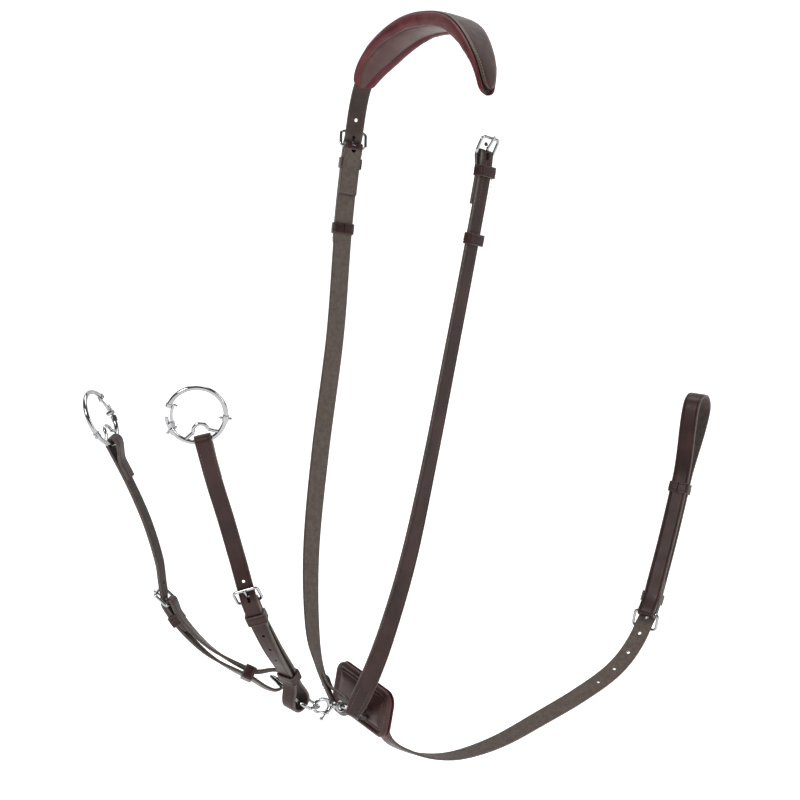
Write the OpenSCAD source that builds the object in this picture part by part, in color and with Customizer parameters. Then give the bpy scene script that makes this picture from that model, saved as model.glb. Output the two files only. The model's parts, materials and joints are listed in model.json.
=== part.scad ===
// Hunting breastplate with a running martingale fork, as it hangs when worn.
// X = 0 is the horse's mid plane, +X its near (left) side, -Y is forward and +Z is up.
// The origin is the middle of the withers, at the centre of the crown of the neck loop.

/* [Straps] */
// Width of the neck and girth straps
strap_w = 19; // [16:0.5:20]
// Width of the two fork straps
fork_w = 16; // [13:0.5:17]
// Thickness of the strap leather
strap_t = 3; // [2.4:0.1:3.2]
// Thickness of the keeper leather
keeper_t = 1.6; // [1.2:0.1:2]
// Length of a keeper along its strap
keeper_l = 11; // [8:0.5:13]

/* [Withers pad] */
// Half width of the pad at the crown
pad_half_w = 20; // [16:0.5:24]
// Thickness of the padded lining at the crown
pad_foam_t = 8; // [5:0.5:9]
// How far the lining stands out past the outer leather
lining_lip = 3; // [2:0.5:4]

/* [Chest pad] */
// Width of the chest pad
chest_w = 100; // [80:1:104]
// Height of the chest pad
chest_h = 52; // [44:1:60]
// Roll of the chest pad as it hangs, near side down
chest_roll = 16; // [0:1:20]

/* [Hardware] */
// Wire radius of the buckle frames
buckle_r = 1.5; // [1.2:0.1:1.6]
// Distance between the pivot bar and the outer bar of a buckle
buckle_l = 17; // [16:0.5:19]
// Wire radius of the rein rings
rein_wire_r = 2.25; // [2:0.05:2.5]
// Radius of a rein ring, to the centre of its wire
rein_ring_r = 27; // [25:0.5:29]
// Wire radius of the breast ring
breast_wire_r = 2; // [1.8:0.1:2.2]
// Radius of the breast ring, to the centre of its wire
breast_ring_r = 13; // [12.5:0.5:14]
// Length of the straight bar of the fork dee, over its rounded corners
dee_bar_l = 78; // [74:1:80]

/* [Hidden] */

$fn = 48;
gap = 0.25;                          // between layers of leather
lay = strap_t + gap;                 // pitch of two layers that lie on each other
fold_r = buckle_r + 0.15 + strap_t / 2;   // centre line of a strap turned round a buckle bar
ring_fold_r = 5.2;                   // centre line of a fork strap turned round a rein ring
loop_r = 16;                         // end radius of the girth loop
fork_loop_r = 10;                    // end radius of the loops on the fork dee
dee_wire_r = 1.8;                    // wire radius of the fork dee
leather = [0.25, 0.15, 0.14];
lining = [0.40, 0.16, 0.18];
flesh = [0.45, 0.41, 0.37];
steel = [0.80, 0.80, 0.82];

// Neck loop, from the breast ring up the near side, over the withers, down the far side.
NECK = [[14.8, -121.1, -688.9], [43, -121, -652], [66, -116, -604], [86, -104, -530], [96, -86, -436],
    [102, -64, -326], [112, -47, -222], [116, -33, -140], [107, -26, -80], [86, -17, -42],
    [47, -8, -10], [0, -4, 0],
    [-47, -8, -6], [-86, -17, -32], [-107, -26, -64], [-116, -33, -126], [-112, -47, -210],
    [-102, -64, -320], [-96, -86, -436], [-86, -104, -536], [-66, -116, -614], [-43, -121, -654],
    [-14.8, -121.1, -688.9]];
// Way the grain side faces at each point of the neck loop.
NECK_OUT = [[0.8, -0.6, 0], [0.8, -0.5, 0], [0.95, -0.2, 0], [1, 0, 0], [0.98, 0.2, 0],
    [0.97, 0.25, 0], [0.96, 0.28, 0], [0.95, 0.32, 0.1], [0.88, 0.35, 0.3], [0.7, 0.3, 0.65],
    [0.35, 0.2, 0.92], [0, 0.18, 1],
    [-0.35, 0.2, 0.92], [-0.7, 0.3, 0.65], [-0.88, 0.35, 0.3], [-0.95, 0.32, 0.1],
    [-0.96, 0.28, 0], [-0.97, 0.25, 0], [-0.98, 0.2, 0], [-1, 0, 0], [-0.95, -0.2, 0],
    [-0.8, -0.5, 0], [-0.8, -0.6, 0]];
neck = [NECK, NECK_OUT];
near_pivot = 7;                      // places on the neck loop
far_pivot = 15;
near_keeper = 6;
far_keeper = 16;
crown = 11;

// Girth strap, from behind the chest pad to the top of its loop.
GIRTH = [[0, -81, -690], [0, -70, -721], [0, -44, -737], [0, -12, -746], [0, 24, -747],
    [0, 72, -738], [0, 124, -720], [0, 177, -700], [0, 222, -678], [0, 251, -652],
    [0, 270, -620], [0, 286, -576], [0, 300, -534], [0, 314, -488], [0, 326, -446],
    [0, 337, -404]];
GIRTH_OUT = [[0, -1, 0], [0, -0.9, -0.45], [0, -0.4, -0.9], [-0.1, 0, -1], [-0.25, 0.1, -1],
    [-0.4, 0.2, -0.9], [-0.5, 0.3, -0.8], [-0.55, 0.35, -0.72], [-0.55, 0.5, -0.6],
    [-0.5, 0.7, -0.4], [-0.45, 0.82, -0.2], [-0.42, 0.87, 0], [-0.42, 0.87, 0],
    [-0.42, 0.87, 0], [-0.42, 0.87, 0], [-0.42, 0.87, 0]];
girth = [GIRTH, GIRTH_OUT];
girth_pivot = 10;
girth_keeper = 13;

// Fork arms, from the rein ring down to the bar of the fork dee.
NEAR_ARM = [[84, -333, -410], [78, -318, -447], [74, -303, -483], [73, -290, -521],
    [76, -278, -562], [61, -246, -606], [37, -210, -641], [24, -194, -667]];
FAR_ARM = [[-84, -338, -420], [-78, -320, -456], [-74, -303, -495], [-73, -290, -534],
    [-76, -278, -578], [-61, -246, -622], [-37, -210, -648], [-23, -188, -655]];
NEAR_ARM_OUT = [[0.82, -0.57, 0], [0.82, -0.57, 0], [0.82, -0.57, 0], [0.8, -0.58, 0],
    [0.75, -0.6, -0.15], [0.5, -0.75, -0.35], [0.2, -0.8, -0.55], [0, -0.75, -0.65]];
// The far arm hangs more edge on, and its loop lies square to the dee's rolled bar.
FAR_ARM_OUT = [[-0.75, -0.66, 0], [-0.77, -0.64, 0], [-0.8, -0.6, 0], [-0.8, -0.58, 0],
    [-0.75, -0.6, -0.15], [-0.5, -0.75, -0.35], [-0.2, -0.8, -0.55], [-0.15, -0.6, -0.78]];
near_arm = [NEAR_ARM, NEAR_ARM_OUT];
far_arm = [FAR_ARM, FAR_ARM_OUT];
arm_pivot = 4;
arm_keeper = 6;
arm_end = 7;

breast_at = [0, -113, -687];         // centre of the breast ring
breast_tilt = -15;                   // front of the ring up
snap_at = [0, -125.6, -683.6];       // where the snap's eye hangs on the ring
snap_rise = 10;                      // slope of the snap
dee_x = 27.5;                        // place of the dee's wire along the snap
dee_drop = 2;                        // and how far it lies below the snap's axis
dee_roll = 16;                       // near side down, as the chest pad hangs
chest_at = [-10, -97, -681];         // middle of the chest pad's front, as it hangs

// ---- routes ----
function unit(v) = v / norm(v);
function pick(list, i) = list[min(max(i, 0), len(list) - 1)];
function curve(a, b, c, d, t) =
    0.5 * (2 * b + (c - a) * t + (2 * a - 5 * b + 4 * c - d) * t * t
    + (3 * b - a - 3 * c + d) * t * t * t);
function along(list, u) = let (i = floor(u))
    curve(pick(list, i - 1), pick(list, i), pick(list, i + 1), pick(list, i + 2), u - i);
function speed(route, u) = norm(along(route[0], u + 0.05) - along(route[0], u - 0.05)) / 0.1;
// Place on a route, y millimetres further on than u.
function further(route, u, y) = u + y / speed(route, u + y / speed(route, u) / 2);
// Frame of a route: point, width way, forward way, grain way.
function frame(route, u) = let (
    p = along(route[0], u),
    t = unit(along(route[0], u + 0.05) - along(route[0], u - 0.05)),
    h = along(route[1], u),
    n = unit(h - t * (h * t)))
    [p, cross(t, n), t, n];
function smooth(t) = let (c = min(max(t, 0), 1)) c * c * (3 - 2 * c);

// One section of a strap: centre, width way, grain way, half width, half thickness.
function section(route, u, y, z, side, hw, ht = strap_t / 2) =
    let (f = frame(route, further(route, u, y)))
    [f[0] + f[3] * z, f[1], f[3] * side, hw, ht];
// Sections of a strap turned round a bar; a is 0 on the grain side and 180 on the flesh side.
function turn(route, u, zc, r, way, angles, hw, ht = strap_t / 2) =
    let (f = frame(route, u))
    [for (a = angles) [f[0] + f[2] * (way * r * sin(a)) + f[3] * (zc + r * cos(a)), f[1],
        f[2] * (way * sin(a)) + f[3] * cos(a), hw, ht]];
// Height of a strap that passes over a turned one: it climbs while it goes through the buckle.
function climb(y) = lay * (1 - smooth(y / (buckle_l - 3)));
// Height of the lower layer of a turned strap, which closes up away from the bar.
function close_up(y, r, l) = -2 * r + (2 * r - lay) * smooth(y / l);

module ribbon(s) {
    n = len(s);
    points = [for (q = s) each [q[0] + q[1] * q[3] + q[2] * q[4], q[0] - q[1] * q[3] + q[2] * q[4],
        q[0] - q[1] * q[3] - q[2] * q[4], q[0] + q[1] * q[3] - q[2] * q[4]]];
    inward = cross(s[0][1], s[0][2]) * (s[1][0] - s[0][0]) > 0;
    sides = [for (i = [0:n - 2], k = [0:3]) let (a = 4 * i + k, b = 4 * i + (k + 1) % 4)
        each [[a, b, b + 4], [a, b + 4, a + 4]]];
    ends = [[3, 2, 1], [3, 1, 0], [4 * n - 4, 4 * n - 3, 4 * n - 2], [4 * n - 4, 4 * n - 2, 4 * n - 1]];
    faces = concat(sides, ends);
    polyhedron(points, inward ? [for (f = faces) [f[2], f[1], f[0]]] : faces);
}

// Moves its children into the frame of a route: x across, y along, z to the grain side.
module at_route(route, u) {
    f = frame(route, u);
    w = f[1];
    t = f[2];
    n = f[3];
    multmatrix([[w[0], t[0], n[0], f[0][0]], [w[1], t[1], n[1], f[0][1]],
        [w[2], t[2], n[2], f[0][2]], [0, 0, 0, 1]]) children();
}

// ---- wire shapes ----
module rod(r, l) {
    rotate([0, 90, 0]) cylinder(r = r, h = l, center = true);
}

module bend(r, wire, angle) {
    rotate_extrude(angle = angle) translate([r, 0]) circle(r = wire);
}

// Buckle frame in its own plane: pivot bar on the x axis, outer bar at y = buckle_l.
module buckle_wire(w) {
    corner = 3.5;
    half = w / 2 + 0.4;
    for (y = [0, buckle_l]) translate([0, y, 0]) rod(buckle_r, 2 * half);
    for (x = [-1, 1]) {
        translate([x * (half + corner), buckle_l / 2, 0]) rotate([90, 0, 0])
            cylinder(r = buckle_r, h = buckle_l - 2 * corner, center = true);
    }
    translate([half, corner, 0]) rotate(-90) bend(corner, buckle_r, 90);
    translate([-half, corner, 0]) rotate(180) bend(corner, buckle_r, 90);
    translate([half, buckle_l - corner, 0]) bend(corner, buckle_r, 90);
    translate([-half, buckle_l - corner, 0]) rotate(90) bend(corner, buckle_r, 90);
}

bar_z = -fold_r;                     // pivot bar below the strap's centre line
outer_z = strap_t / 2 + 0.2 + buckle_r;   // outer bar above the strap that passes under it
buckle_tilt = asin((outer_z - bar_z) / buckle_l);
tongue_r = 1.2;

module buckle_frame(route, u, way, w) {
    color(steel) at_route(route, u) translate([0, 0, bar_z]) turned(way)
        rotate([buckle_tilt, 0, 0]) buckle_wire(w);
}

// Turns what is at a buckle half round where the strap comes from the other side of its bar.
module turned(way) {
    rotate([0, 0, way > 0 ? 0 : 180]) children();
}

module buckle_tongue(route, u, way) {
    rise = atan((buckle_r + tongue_r + 0.1) / (buckle_l + 1));
    color(steel) at_route(route, u) translate([0, 0, bar_z]) turned(way)
        rotate([buckle_tilt, 0, 0]) difference() {
            union() {
                rod(2.9, 3.6);
                translate([0, 1.6, 0.9]) rotate([rise - 90, 0, 0])
                    cylinder(r = tongue_r, h = buckle_l + 0.9);
                translate([0, 1.6, 0.9]) rotate([rise, 0, 0]) translate([0, buckle_l + 0.9, 0])
                    sphere(r = tongue_r);
            }
            rod(buckle_r + 0.05, 5);
        }
}

// Slot for the tongue through a strap turned round the bar; top is how high it cuts.
module fold_slot(route, u, way, top) {
    half = 2.4;
    at_route(route, u) turned(way) translate([-half, -5, -3 * fold_r])
        cube([2 * half, 12, 3 * fold_r + top]);
}

// Hole for the tongue through the strap that passes over the bar.
module tongue_slot(route, u, way) {
    at_route(route, u) turned(way) translate([-2, -0.5, -5]) cube([4, 14, 14]);
}

// Band round layers of leather from z = low to z = high.
module band(w, low, high, l, open_below = false) {
    half = w / 2 + 0.3;
    cut = open_below ? low - 2 * keeper_t : low;
    difference() {
        translate([-half - keeper_t, -l / 2, low - keeper_t])
            cube([2 * (half + keeper_t), l, high - low + 2 * keeper_t]);
        translate([-half, -l, cut]) cube([2 * half, 2 * l, high - cut]);
    }
}

// ---- withers pad ----
pad_span = 2.95;                     // half length of the outer leather, in route steps
function pad_half(d, span) = let (e = max(span - d, 0))
    min(pad_half_w - 0.75 * d * d, 5 + 13 * sqrt(min(e, 1)));
pad_ends = [0, 0.06, 0.16, 0.32];    // closer steps where the pad is rounded
function pad_steps(span) = concat([for (e = pad_ends) e - span],
    [for (i = [-11:11]) if (abs(i) * 0.22 < span - 0.4) i * 0.22],
    [for (k = [3:-1:0]) span - pad_ends[k]]);
function foam_depth(d) = 2 + (pad_foam_t - 2) * smooth((2.9 - d) / 2);

module withers_pad_outer() {
    color(leather) ribbon([for (d = pad_steps(pad_span))
        section(neck, crown + d, 0, strap_t + 0.3, 1, pad_half(abs(d), pad_span))]);
}

module withers_pad_foam() {
    span = 2.55;
    color("dimgray") ribbon([for (d = pad_steps(span)) let (
        top = abs(d) < 2 ? 1 : -1.8,
        bottom = -1.8 - foam_depth(abs(d)))
        section(neck, crown + d, 0, (top + bottom) / 2, 1, pad_half(abs(d), pad_span) - 1,
            (top - bottom) / 2)]);
}

module withers_pad_lining() {
    span = pad_span + 0.1;
    color(lining) ribbon([for (d = pad_steps(span))
        section(neck, crown + d, 0, -3.8 - foam_depth(abs(d)), 1,
            pad_half(abs(d), span) + lining_lip, 1.2)]);
}

// ---- neck straps ----
tip_share = 0.45;                    // width of a pointed end, as a share of the strap
// Billet from inside the pad, under the outer bar and over the turned strap, to its tip.
module billet(pivot, way, tip) {
    inside = pivot + way * 1.4;
    hw = strap_w / 2;
    parts = 12;
    color(leather) difference() {
        ribbon(concat(
            [for (k = [parts:-1:0]) section(neck, pivot, -way * tip * k / parts, lay, 1,
                k == parts ? tip_share * hw : hw)],
            [for (y = [3, 6, 9, 12, 15, 24, 38]) section(neck, pivot, way * y, climb(y), 1, hw)],
            [for (u = [pivot + way, inside]) section(neck, u, 0, 0, 1, hw)]));
        tongue_slot(neck, pivot, way);
    }
}

// Neck strap: turned round the buckle's bar above, and round the breast ring below.
module neck_strap(pivot, way, end) {
    steps = way > 0 ? pivot - end : end - pivot;
    round_ring = 7.2;                // centre line of the turn round the ring's wire
    end_hw = 6.3;
    hw = strap_w / 2;
    color(leather) difference() {
        ribbon(concat(
            [for (y = [50, 36, 24, 14, 5]) section(neck, pivot, -way * y,
                close_up(y, fold_r, 20), -1, hw)],
            turn(neck, pivot, bar_z, fold_r, way, [180:-30:0], hw),
            [for (y = [8, 30, 60]) section(neck, pivot, -way * y, 0, 1, hw)],
            [for (k = [1:14]) section(neck, pivot - way * steps * (0.15 + 0.83 * k / 14), 0, 0, 1,
                k > 13 ? end_hw + 1 : hw)],
            turn(neck, end, -round_ring, round_ring, -way, [0:20:180], end_hw),
            [for (y = [6, 14, 22, 30, 38]) section(neck, end, way * y,
                close_up(y, round_ring, 28), -1, end_hw)]));
        fold_slot(neck, pivot, way, lay);
    }
}

module fixed_keeper(route, u, y, w) {
    color(leather) at_route(route, further(route, u, y))
        band(w, -1.5 * lay, lay + strap_t / 2 + gap, keeper_l, true);
}

// ---- breast ring and chest pad ----
module breast_ring() {
    color(steel) translate(breast_at) rotate([breast_tilt, 0, 0])
        rotate_extrude() translate([breast_ring_r, 0]) circle(r = breast_wire_r);
}

module rounded_plate(w, h, r, t) {
    linear_extrude(t) {
        square([w - 2 * r, h], center = true);
        square([w, h - 2 * r], center = true);
        for (x = [-1, 1], y = [-1, 1]) translate([x * (w / 2 - r), y * (h / 2 - r)]) circle(r = r);
    }
}

// Frame of the chest pad: x across, y up, z forward.
module at_chest() {
    translate(chest_at) rotate([0, chest_roll, 0]) rotate([90, 0, 0]) children();
}

module chest_pad_outer() {
    color(leather) at_chest() translate([0, 0, -2.5]) rounded_plate(chest_w - 8, chest_h - 8, 10, 2.5);
}

module chest_pad_foam() {
    color("dimgray") at_chest() translate([0, 0, -6.6]) rounded_plate(chest_w - 10, chest_h - 10, 9, 4);
}

module chest_pad_lining() {
    color(lining) at_chest() translate([0, 0, -8.8]) rounded_plate(chest_w, chest_h, 14, 2.1);
}

// Tab that holds the back of the breast ring on the chest pad.
module chest_pad_tab() {
    back = breast_at + [0, breast_ring_r * cos(breast_tilt), breast_ring_r * sin(breast_tilt)];
    reach = 3.9;                     // inside of the turn round the ring's wire
    t = 1.8;
    tail = 9;
    flat_y = chest_at[1] - 0.2 - back[1];
    color(leather) translate(back) rotate([90, 0, 90]) linear_extrude(12, center = true)
        difference() {
            union() {
                circle(r = reach + t);
                translate([flat_y - t, -tail]) square([t, tail]);
            }
            circle(r = reach);
            translate([flat_y, -30]) square([20, 60]);
        }
}

// ---- girth strap ----
// Half opening of a strap's loop, a distance y short of the centre of its round end.
function loop_half(y, l, r) = lay + (r - lay) * smooth(1 - y / l);

module girth_strap() {
    hw = strap_w / 2;
    last = len(GIRTH) - 1;
    l = 80;
    ys = [80, 64, 48, 32, 16, 6];
    color(leather) difference() {
        ribbon(concat(
            [for (k = [0:30]) section(girth, k * 0.32, 0, 0, 1, hw)],
            [for (y = [12, 9, 6, 3, 0, -3, -16, -34, -52])
                section(girth, girth_pivot, -y, climb(y), 1, hw)],
            [for (u = [girth_pivot + 1.6, girth_pivot + 2.1]) section(girth, u, 0, lay, 1, hw)],
            [for (y = ys) section(girth, last, -y, loop_half(y, l, loop_r), 1, hw)],
            turn(girth, last, 0, loop_r, 1, [0:20:180], hw),
            [for (k = [len(ys) - 1:-1:0])
                section(girth, last, -ys[k], -loop_half(ys[k], l, loop_r), -1, hw)],
            [for (u = [girth_pivot + 2.1, girth_pivot + 1.6]) section(girth, u, 0, -lay, -1, hw)],
            [for (y = [52, 34, 22, 14, 5]) section(girth, girth_pivot, y, close_up(y, fold_r, 20), -1, hw)],
            turn(girth, girth_pivot, bar_z, fold_r, -1, [180:-30:0], hw),
            [for (y = [5, 14, 24, 34, 40]) section(girth, girth_pivot, y, 0, 1, hw)]));
        tongue_slot(girth, girth_pivot, -1);
        fold_slot(girth, girth_pivot, -1, strap_t / 2 + 0.1);
    }
}

// ---- snap ----
// Frame of the snap: x forward along the snap, z up, origin on the breast ring's wire.
module at_snap() {
    translate(snap_at) rotate([0, 0, -90]) rotate([0, -snap_rise, 0]) children();
}

module snap_swivel() {
    color(steel) at_snap() {
        rotate([90, 0, 0]) rotate_extrude() translate([4.6, 0]) circle(r = 1.3);
        translate([5, 0, 0]) rotate([0, 90, 0]) cylinder(r = 1.6, h = 7);
        translate([11.2, 0, 0]) rotate([0, 90, 0]) cylinder(r = 2.6, h = 1.6);
    }
}

hook_r = 6;                          // bend of the hook's nose
hook_x = 26;                         // centre of that bend
gate_x = 17;                         // pivot of the gate

module snap_body() {
    color(steel) at_snap() difference() {
        union() {
            translate([7.5, 0, 0]) rotate([0, 90, 0]) cylinder(r = 3.9, h = 6.5);
            translate([13, 0, 4]) rotate([0, 90, 0]) cylinder(r = 2, h = hook_x - 13);
            translate([13, 0, 0]) cylinder(r = 2, h = 4);
            translate([13, 0, 4]) sphere(r = 2);
            translate([hook_x, 0, 4 - hook_r]) rotate([90, 0, 0]) rotate(-90) bend(hook_r, 2, 180);
            for (y = [-1, 1]) translate([13, y * 2.9 - 0.7, -9.4]) cube([6, 1.4, 9.4]);
            translate([12, -3.6, -3.4]) cube([2.6, 7.2, 3.4]);
        }
        translate([6, 0, 0]) rotate([0, 90, 0]) cylinder(r = 1.7, h = 5);
        translate([10.9, 0, 0]) rotate([0, 90, 0]) cylinder(r = 2.7, h = 2.2);
        translate([gate_x, 0, 4 - 2 * hook_r]) rotate([90, 0, 0]) cylinder(r = 0.8, h = 12, center = true);
    }
}

module snap_gate() {
    z = 4 - 2 * hook_r;
    color(steel) at_snap() difference() {
        union() {
            translate([gate_x, 0, z]) rotate([90, 0, 0]) cylinder(r = 2, h = 3.6, center = true);
            translate([gate_x, 0, z]) rotate([0, 90, 0]) cylinder(r = 1.4, h = hook_x - gate_x - 0.5);
            translate([gate_x + 1, 0, z]) rotate([0, 155, 0]) cylinder(r = 1.1, h = 7);
            translate([gate_x + 1, 0, z]) rotate([0, 155, 0]) translate([0, 0, 7]) sphere(r = 2.2);
        }
        translate([gate_x, 0, z]) rotate([90, 0, 0]) cylinder(r = 0.82, h = 12, center = true);
    }
}

module snap_gate_pin() {
    color(steel) at_snap() translate([gate_x, 0, 4 - 2 * hook_r]) rotate([90, 0, 0]) {
        cylinder(r = 0.78, h = 7.2, center = true);
        for (s = [-1, 1]) translate([0, 0, s * 4]) cylinder(r = 1.5, h = 0.7, center = true);
    }
}

// Leaf spring that keeps the gate shut.
module snap_spring() {
    color("gray") at_snap() translate([14.8, -1.2, -5.1]) cube([4.2, 2.4, 0.4]);
}

// ---- fork dee ----
// Frame of the dee: x across, y towards the straight bar, origin at its back in the hook.
dee_at = snap_at + dee_x * [0, -cos(snap_rise), sin(snap_rise)]
    - dee_drop * [0, sin(snap_rise), cos(snap_rise)];
bar_at = [0, -191, -661];
dee_way = unit(bar_at - dee_at);
dee_depth = norm(bar_at - dee_at);
dee_rise = asin(dee_way[2]);

module at_dee() {
    translate(dee_at) rotate([0, 0, 180]) rotate([dee_rise, 0, 0]) rotate([0, -dee_roll, 0]) children();
}

module fork_dee() {
    corner = 7;
    half = dee_bar_l / 2 - corner;
    side = atan2(half, dee_depth - 2 * corner);
    bar_r = dee_wire_r + 0.1;        // the bars are a little thicker than the bends they run into
    over = 0.6;
    color(steel) at_dee() {
        translate([0, dee_depth, 0]) rod(bar_r, 2 * (half + over));
        translate([0, corner, 0]) rotate(180 + side) bend(corner, dee_wire_r, 180 - 2 * side);
        translate([half, dee_depth - corner, 0]) rotate(-side) bend(corner, dee_wire_r, 90 + side);
        translate([-half, dee_depth - corner, 0]) rotate(90) bend(corner, dee_wire_r, 90 + side);
        for (s = [-1, 1]) side_bar([s * corner * cos(side), corner - corner * sin(side)],
            [s * (half + corner * cos(side)), dee_depth - corner - corner * sin(side)], bar_r, over);
    }
}

// ---- fork arms ----
module fork_strap(route) {
    hw = fork_w / 2;
    l = 30;
    ys = [30, 24, 18, 12, 6];
    color(leather) difference() {
        ribbon(concat(
            [for (y = [38, 26, 18, 12, 6]) section(route, 0, y, close_up(y, ring_fold_r, 22), -1, hw)],
            turn(route, 0, -ring_fold_r, ring_fold_r, -1, [180:-30:0], hw),
            [for (k = [1:10]) section(route, k * 0.35, 0, 0, 1, hw)],
            [for (y = [15, 12, 9, 6, 3, 0, -3, -12, -24]) section(route, arm_pivot, -y, climb(y), 1, hw)],
            [for (k = [0:5]) section(route, 4.8 + k * 0.25, 0, lay, 1, hw)],
            [for (y = ys) section(route, arm_end, -y, loop_half(y, l, fork_loop_r), 1, hw)],
            turn(route, arm_end, 0, fork_loop_r, 1, [0:20:180], hw),
            [for (k = [len(ys) - 1:-1:0]) section(route, arm_end, -ys[k],
                -loop_half(ys[k], l, fork_loop_r), -1, hw)],
            [for (k = [5:-1:0]) section(route, 4.8 + k * 0.25, 0, -lay, -1, hw)],
            [for (y = [24, 14, 5]) section(route, arm_pivot, y, close_up(y, fold_r, 20), -1, hw)],
            turn(route, arm_pivot, bar_z, fold_r, -1, [180:-30:0], hw),
            [for (y = [5, 14, 24, 32]) section(route, arm_pivot, y, 0, 1, hw)]));
        tongue_slot(route, arm_pivot, -1);
        fold_slot(route, arm_pivot, -1, strap_t / 2 + 0.1);
    }
}

// Keeper that slides on its strap; low is the height of the lowest layer in it.
module loose_keeper(route, u, w, low, slack) {
    color(leather) at_route(route, u)
        band(w + 2 * slack - 0.3, low - strap_t / 2 - slack, lay + strap_t / 2 + slack, keeper_l);
}

module arm_loose_keeper(route) {
    loose_keeper(route, arm_keeper, fork_w, -lay, 0.8);
}

// ---- rein rings ----
knuckle_a = 69;                      // angle of the knuckles from the strap's place
nose_a = 100;                        // angle where the base's nose ends
catch_a = 122;                       // angle where the bow ends
arch_a = 38;                         // angle of the feet of the arch
arch_wire_r = 1.7;                   // wire of the arch that keeps the strap in its place
gate_r = 23;                         // radius of the gate, which shuts against the inside of the bow
gate_wire_r = 1.35;                  // wire radius of the gate
gate_pivot_a = 83;                   // angle of the gate's pin
gate_pin_r = 0.8;                    // radius of the gate's pin
rivet_r = 0.9;                       // radius of the pins through the knuckles

// Frame of a rein ring: x along the strap's width, y up from the strap, centre at the origin.
module at_ring(route) {
    at_route(route, 0) translate([0, 0, -ring_fold_r]) rotate([0, 0, 180])
        translate([0, rein_ring_r, 0]) children();
}

// Arc of wire between two angles from the strap's place.
module ring_arc(from, to, r = rein_ring_r, wire = rein_wire_r) {
    rotate(from - 90) bend(r, wire, to - from);
}

module on_ring(a, r = rein_ring_r) {
    rotate(a - 90) translate([r, 0, 0]) children();
}

// Rod from a to b in the plane of the ring or the dee, and a little into what it joins.
module side_bar(a, b, r, over = 0) {
    d = b - a;
    translate([a[0], a[1], 0]) rotate([0, 90, atan2(d[1], d[0])]) translate([0, 0, -over])
        cylinder(r = r, h = norm(d) + 2 * over);
}

module ring_base() {
    foot = rein_ring_r * [sin(arch_a), -cos(arch_a)];
    arch_y = -16;
    arch_r = 7;
    difference() {
        union() {
            ring_arc(-knuckle_a, knuckle_a);
            ring_arc(-nose_a, -knuckle_a, rein_ring_r + 0.5, 1.75);
            for (s = [-1, 1]) on_ring(s * knuckle_a) rotate([90, 0, 0])
                cylinder(r = 3.1, h = 5.6, center = true);
            translate([0, arch_y, 0]) bend(arch_r, arch_wire_r, 180);
            for (s = [-1, 1]) side_bar([s * arch_r, arch_y], [s * foot[0], foot[1]], arch_wire_r);
            on_ring(-gate_pivot_a, gate_r) cylinder(r = 2.2, h = 6, center = true);
            on_ring(-gate_pivot_a, gate_r) translate([0, -2, -3]) cube([4.5, 4, 6]);
        }
        on_ring(-gate_pivot_a, gate_r) cylinder(r = 2.6, h = 3.3, center = true);
        on_ring(-gate_pivot_a, gate_r) cylinder(r = gate_pin_r + 0.04, h = 9, center = true);
        ring_arc(-gate_pivot_a - 30, -gate_pivot_a, gate_r, gate_wire_r + 0.3);
        ring_arc(knuckle_a - 2, knuckle_a + 12, rein_ring_r, rein_wire_r + 0.04);
        for (s = [-1, 1]) rivet_line(s) cylinder(r = rivet_r + 0.04, h = 12, center = true);
    }
}

// Line of the pin through a knuckle, which points at the ring's centre.
module rivet_line(s) {
    on_ring(s * knuckle_a) translate([0, -0.5 * (1 - s), 0]) rotate([0, 90, 0]) children();
}

module ring_bow() {
    difference() {
        union() {
            ring_arc(knuckle_a - 1.6, 360 - catch_a);
            on_ring(360 - catch_a) translate([0, -1.6, 0]) rotate([90, 0, 0]) difference() {
                cylinder(r = 3, h = 3.2, center = true);
                translate([-6.4, -5, -5]) cube([4, 10, 10]);
            }
        }
        rivet_line(1) cylinder(r = rivet_r + 0.04, h = 12, center = true);
    }
}

module ring_gate() {
    difference() {
        union() {
            on_ring(-gate_pivot_a, gate_r) cylinder(r = 2.2, h = 2.9, center = true);
            ring_arc(-catch_a - 10, -gate_pivot_a, gate_r, gate_wire_r);
            on_ring(-catch_a - 9, gate_r) rotate([0, -90, 0]) cylinder(r = 1, h = 3.2);
        }
        on_ring(-gate_pivot_a, gate_r) cylinder(r = gate_pin_r + 0.04, h = 9, center = true);
    }
}

// Gate pin, and a pin with ball ends through each knuckle.
module ring_pins() {
    on_ring(-gate_pivot_a, gate_r) cylinder(r = gate_pin_r, h = 6.4, center = true);
    for (s = [-1, 1]) rivet_line(s) {
        cylinder(r = rivet_r, h = 8.6, center = true);
        for (k = [-1, 1]) translate([0, 0, k * 4.6]) sphere(r = 1.45);
    }
}

// Coils of the gate's spring, round the ends of its pin.
module gate_spring() {
    on_ring(-gate_pivot_a, gate_r) for (k = [-1, 1]) translate([0, 0, k * 3.4])
        rotate_extrude() translate([1.3, 0]) circle(r = 0.3);
}

withers_pad_outer();
withers_pad_foam();
withers_pad_lining();
billet(near_pivot, 1, 117);  // near_billet
billet(far_pivot, -1, 108);  // far_billet
buckle_frame(neck, near_pivot, 1, strap_w);  // near_buckle_frame
buckle_frame(neck, far_pivot, -1, strap_w);  // far_buckle_frame
buckle_tongue(neck, near_pivot, 1);  // near_buckle_tongue
buckle_tongue(neck, far_pivot, -1);  // far_buckle_tongue
fixed_keeper(neck, near_pivot, -17, strap_w);  // near_fixed_keeper
fixed_keeper(neck, far_pivot, 17, strap_w);  // far_fixed_keeper
loose_keeper(neck, near_keeper, strap_w, 0, 0.45);  // near_loose_keeper
loose_keeper(neck, far_keeper, strap_w, 0, 0.45);  // far_loose_keeper
neck_strap(near_pivot, 1, 0);  // near_neck_strap
neck_strap(far_pivot, -1, len(NECK) - 1);  // far_neck_strap
breast_ring();
chest_pad_outer();
chest_pad_foam();
chest_pad_lining();
chest_pad_tab();
girth_strap();
buckle_frame(girth, girth_pivot, -1, strap_w);  // girth_buckle_frame
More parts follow.
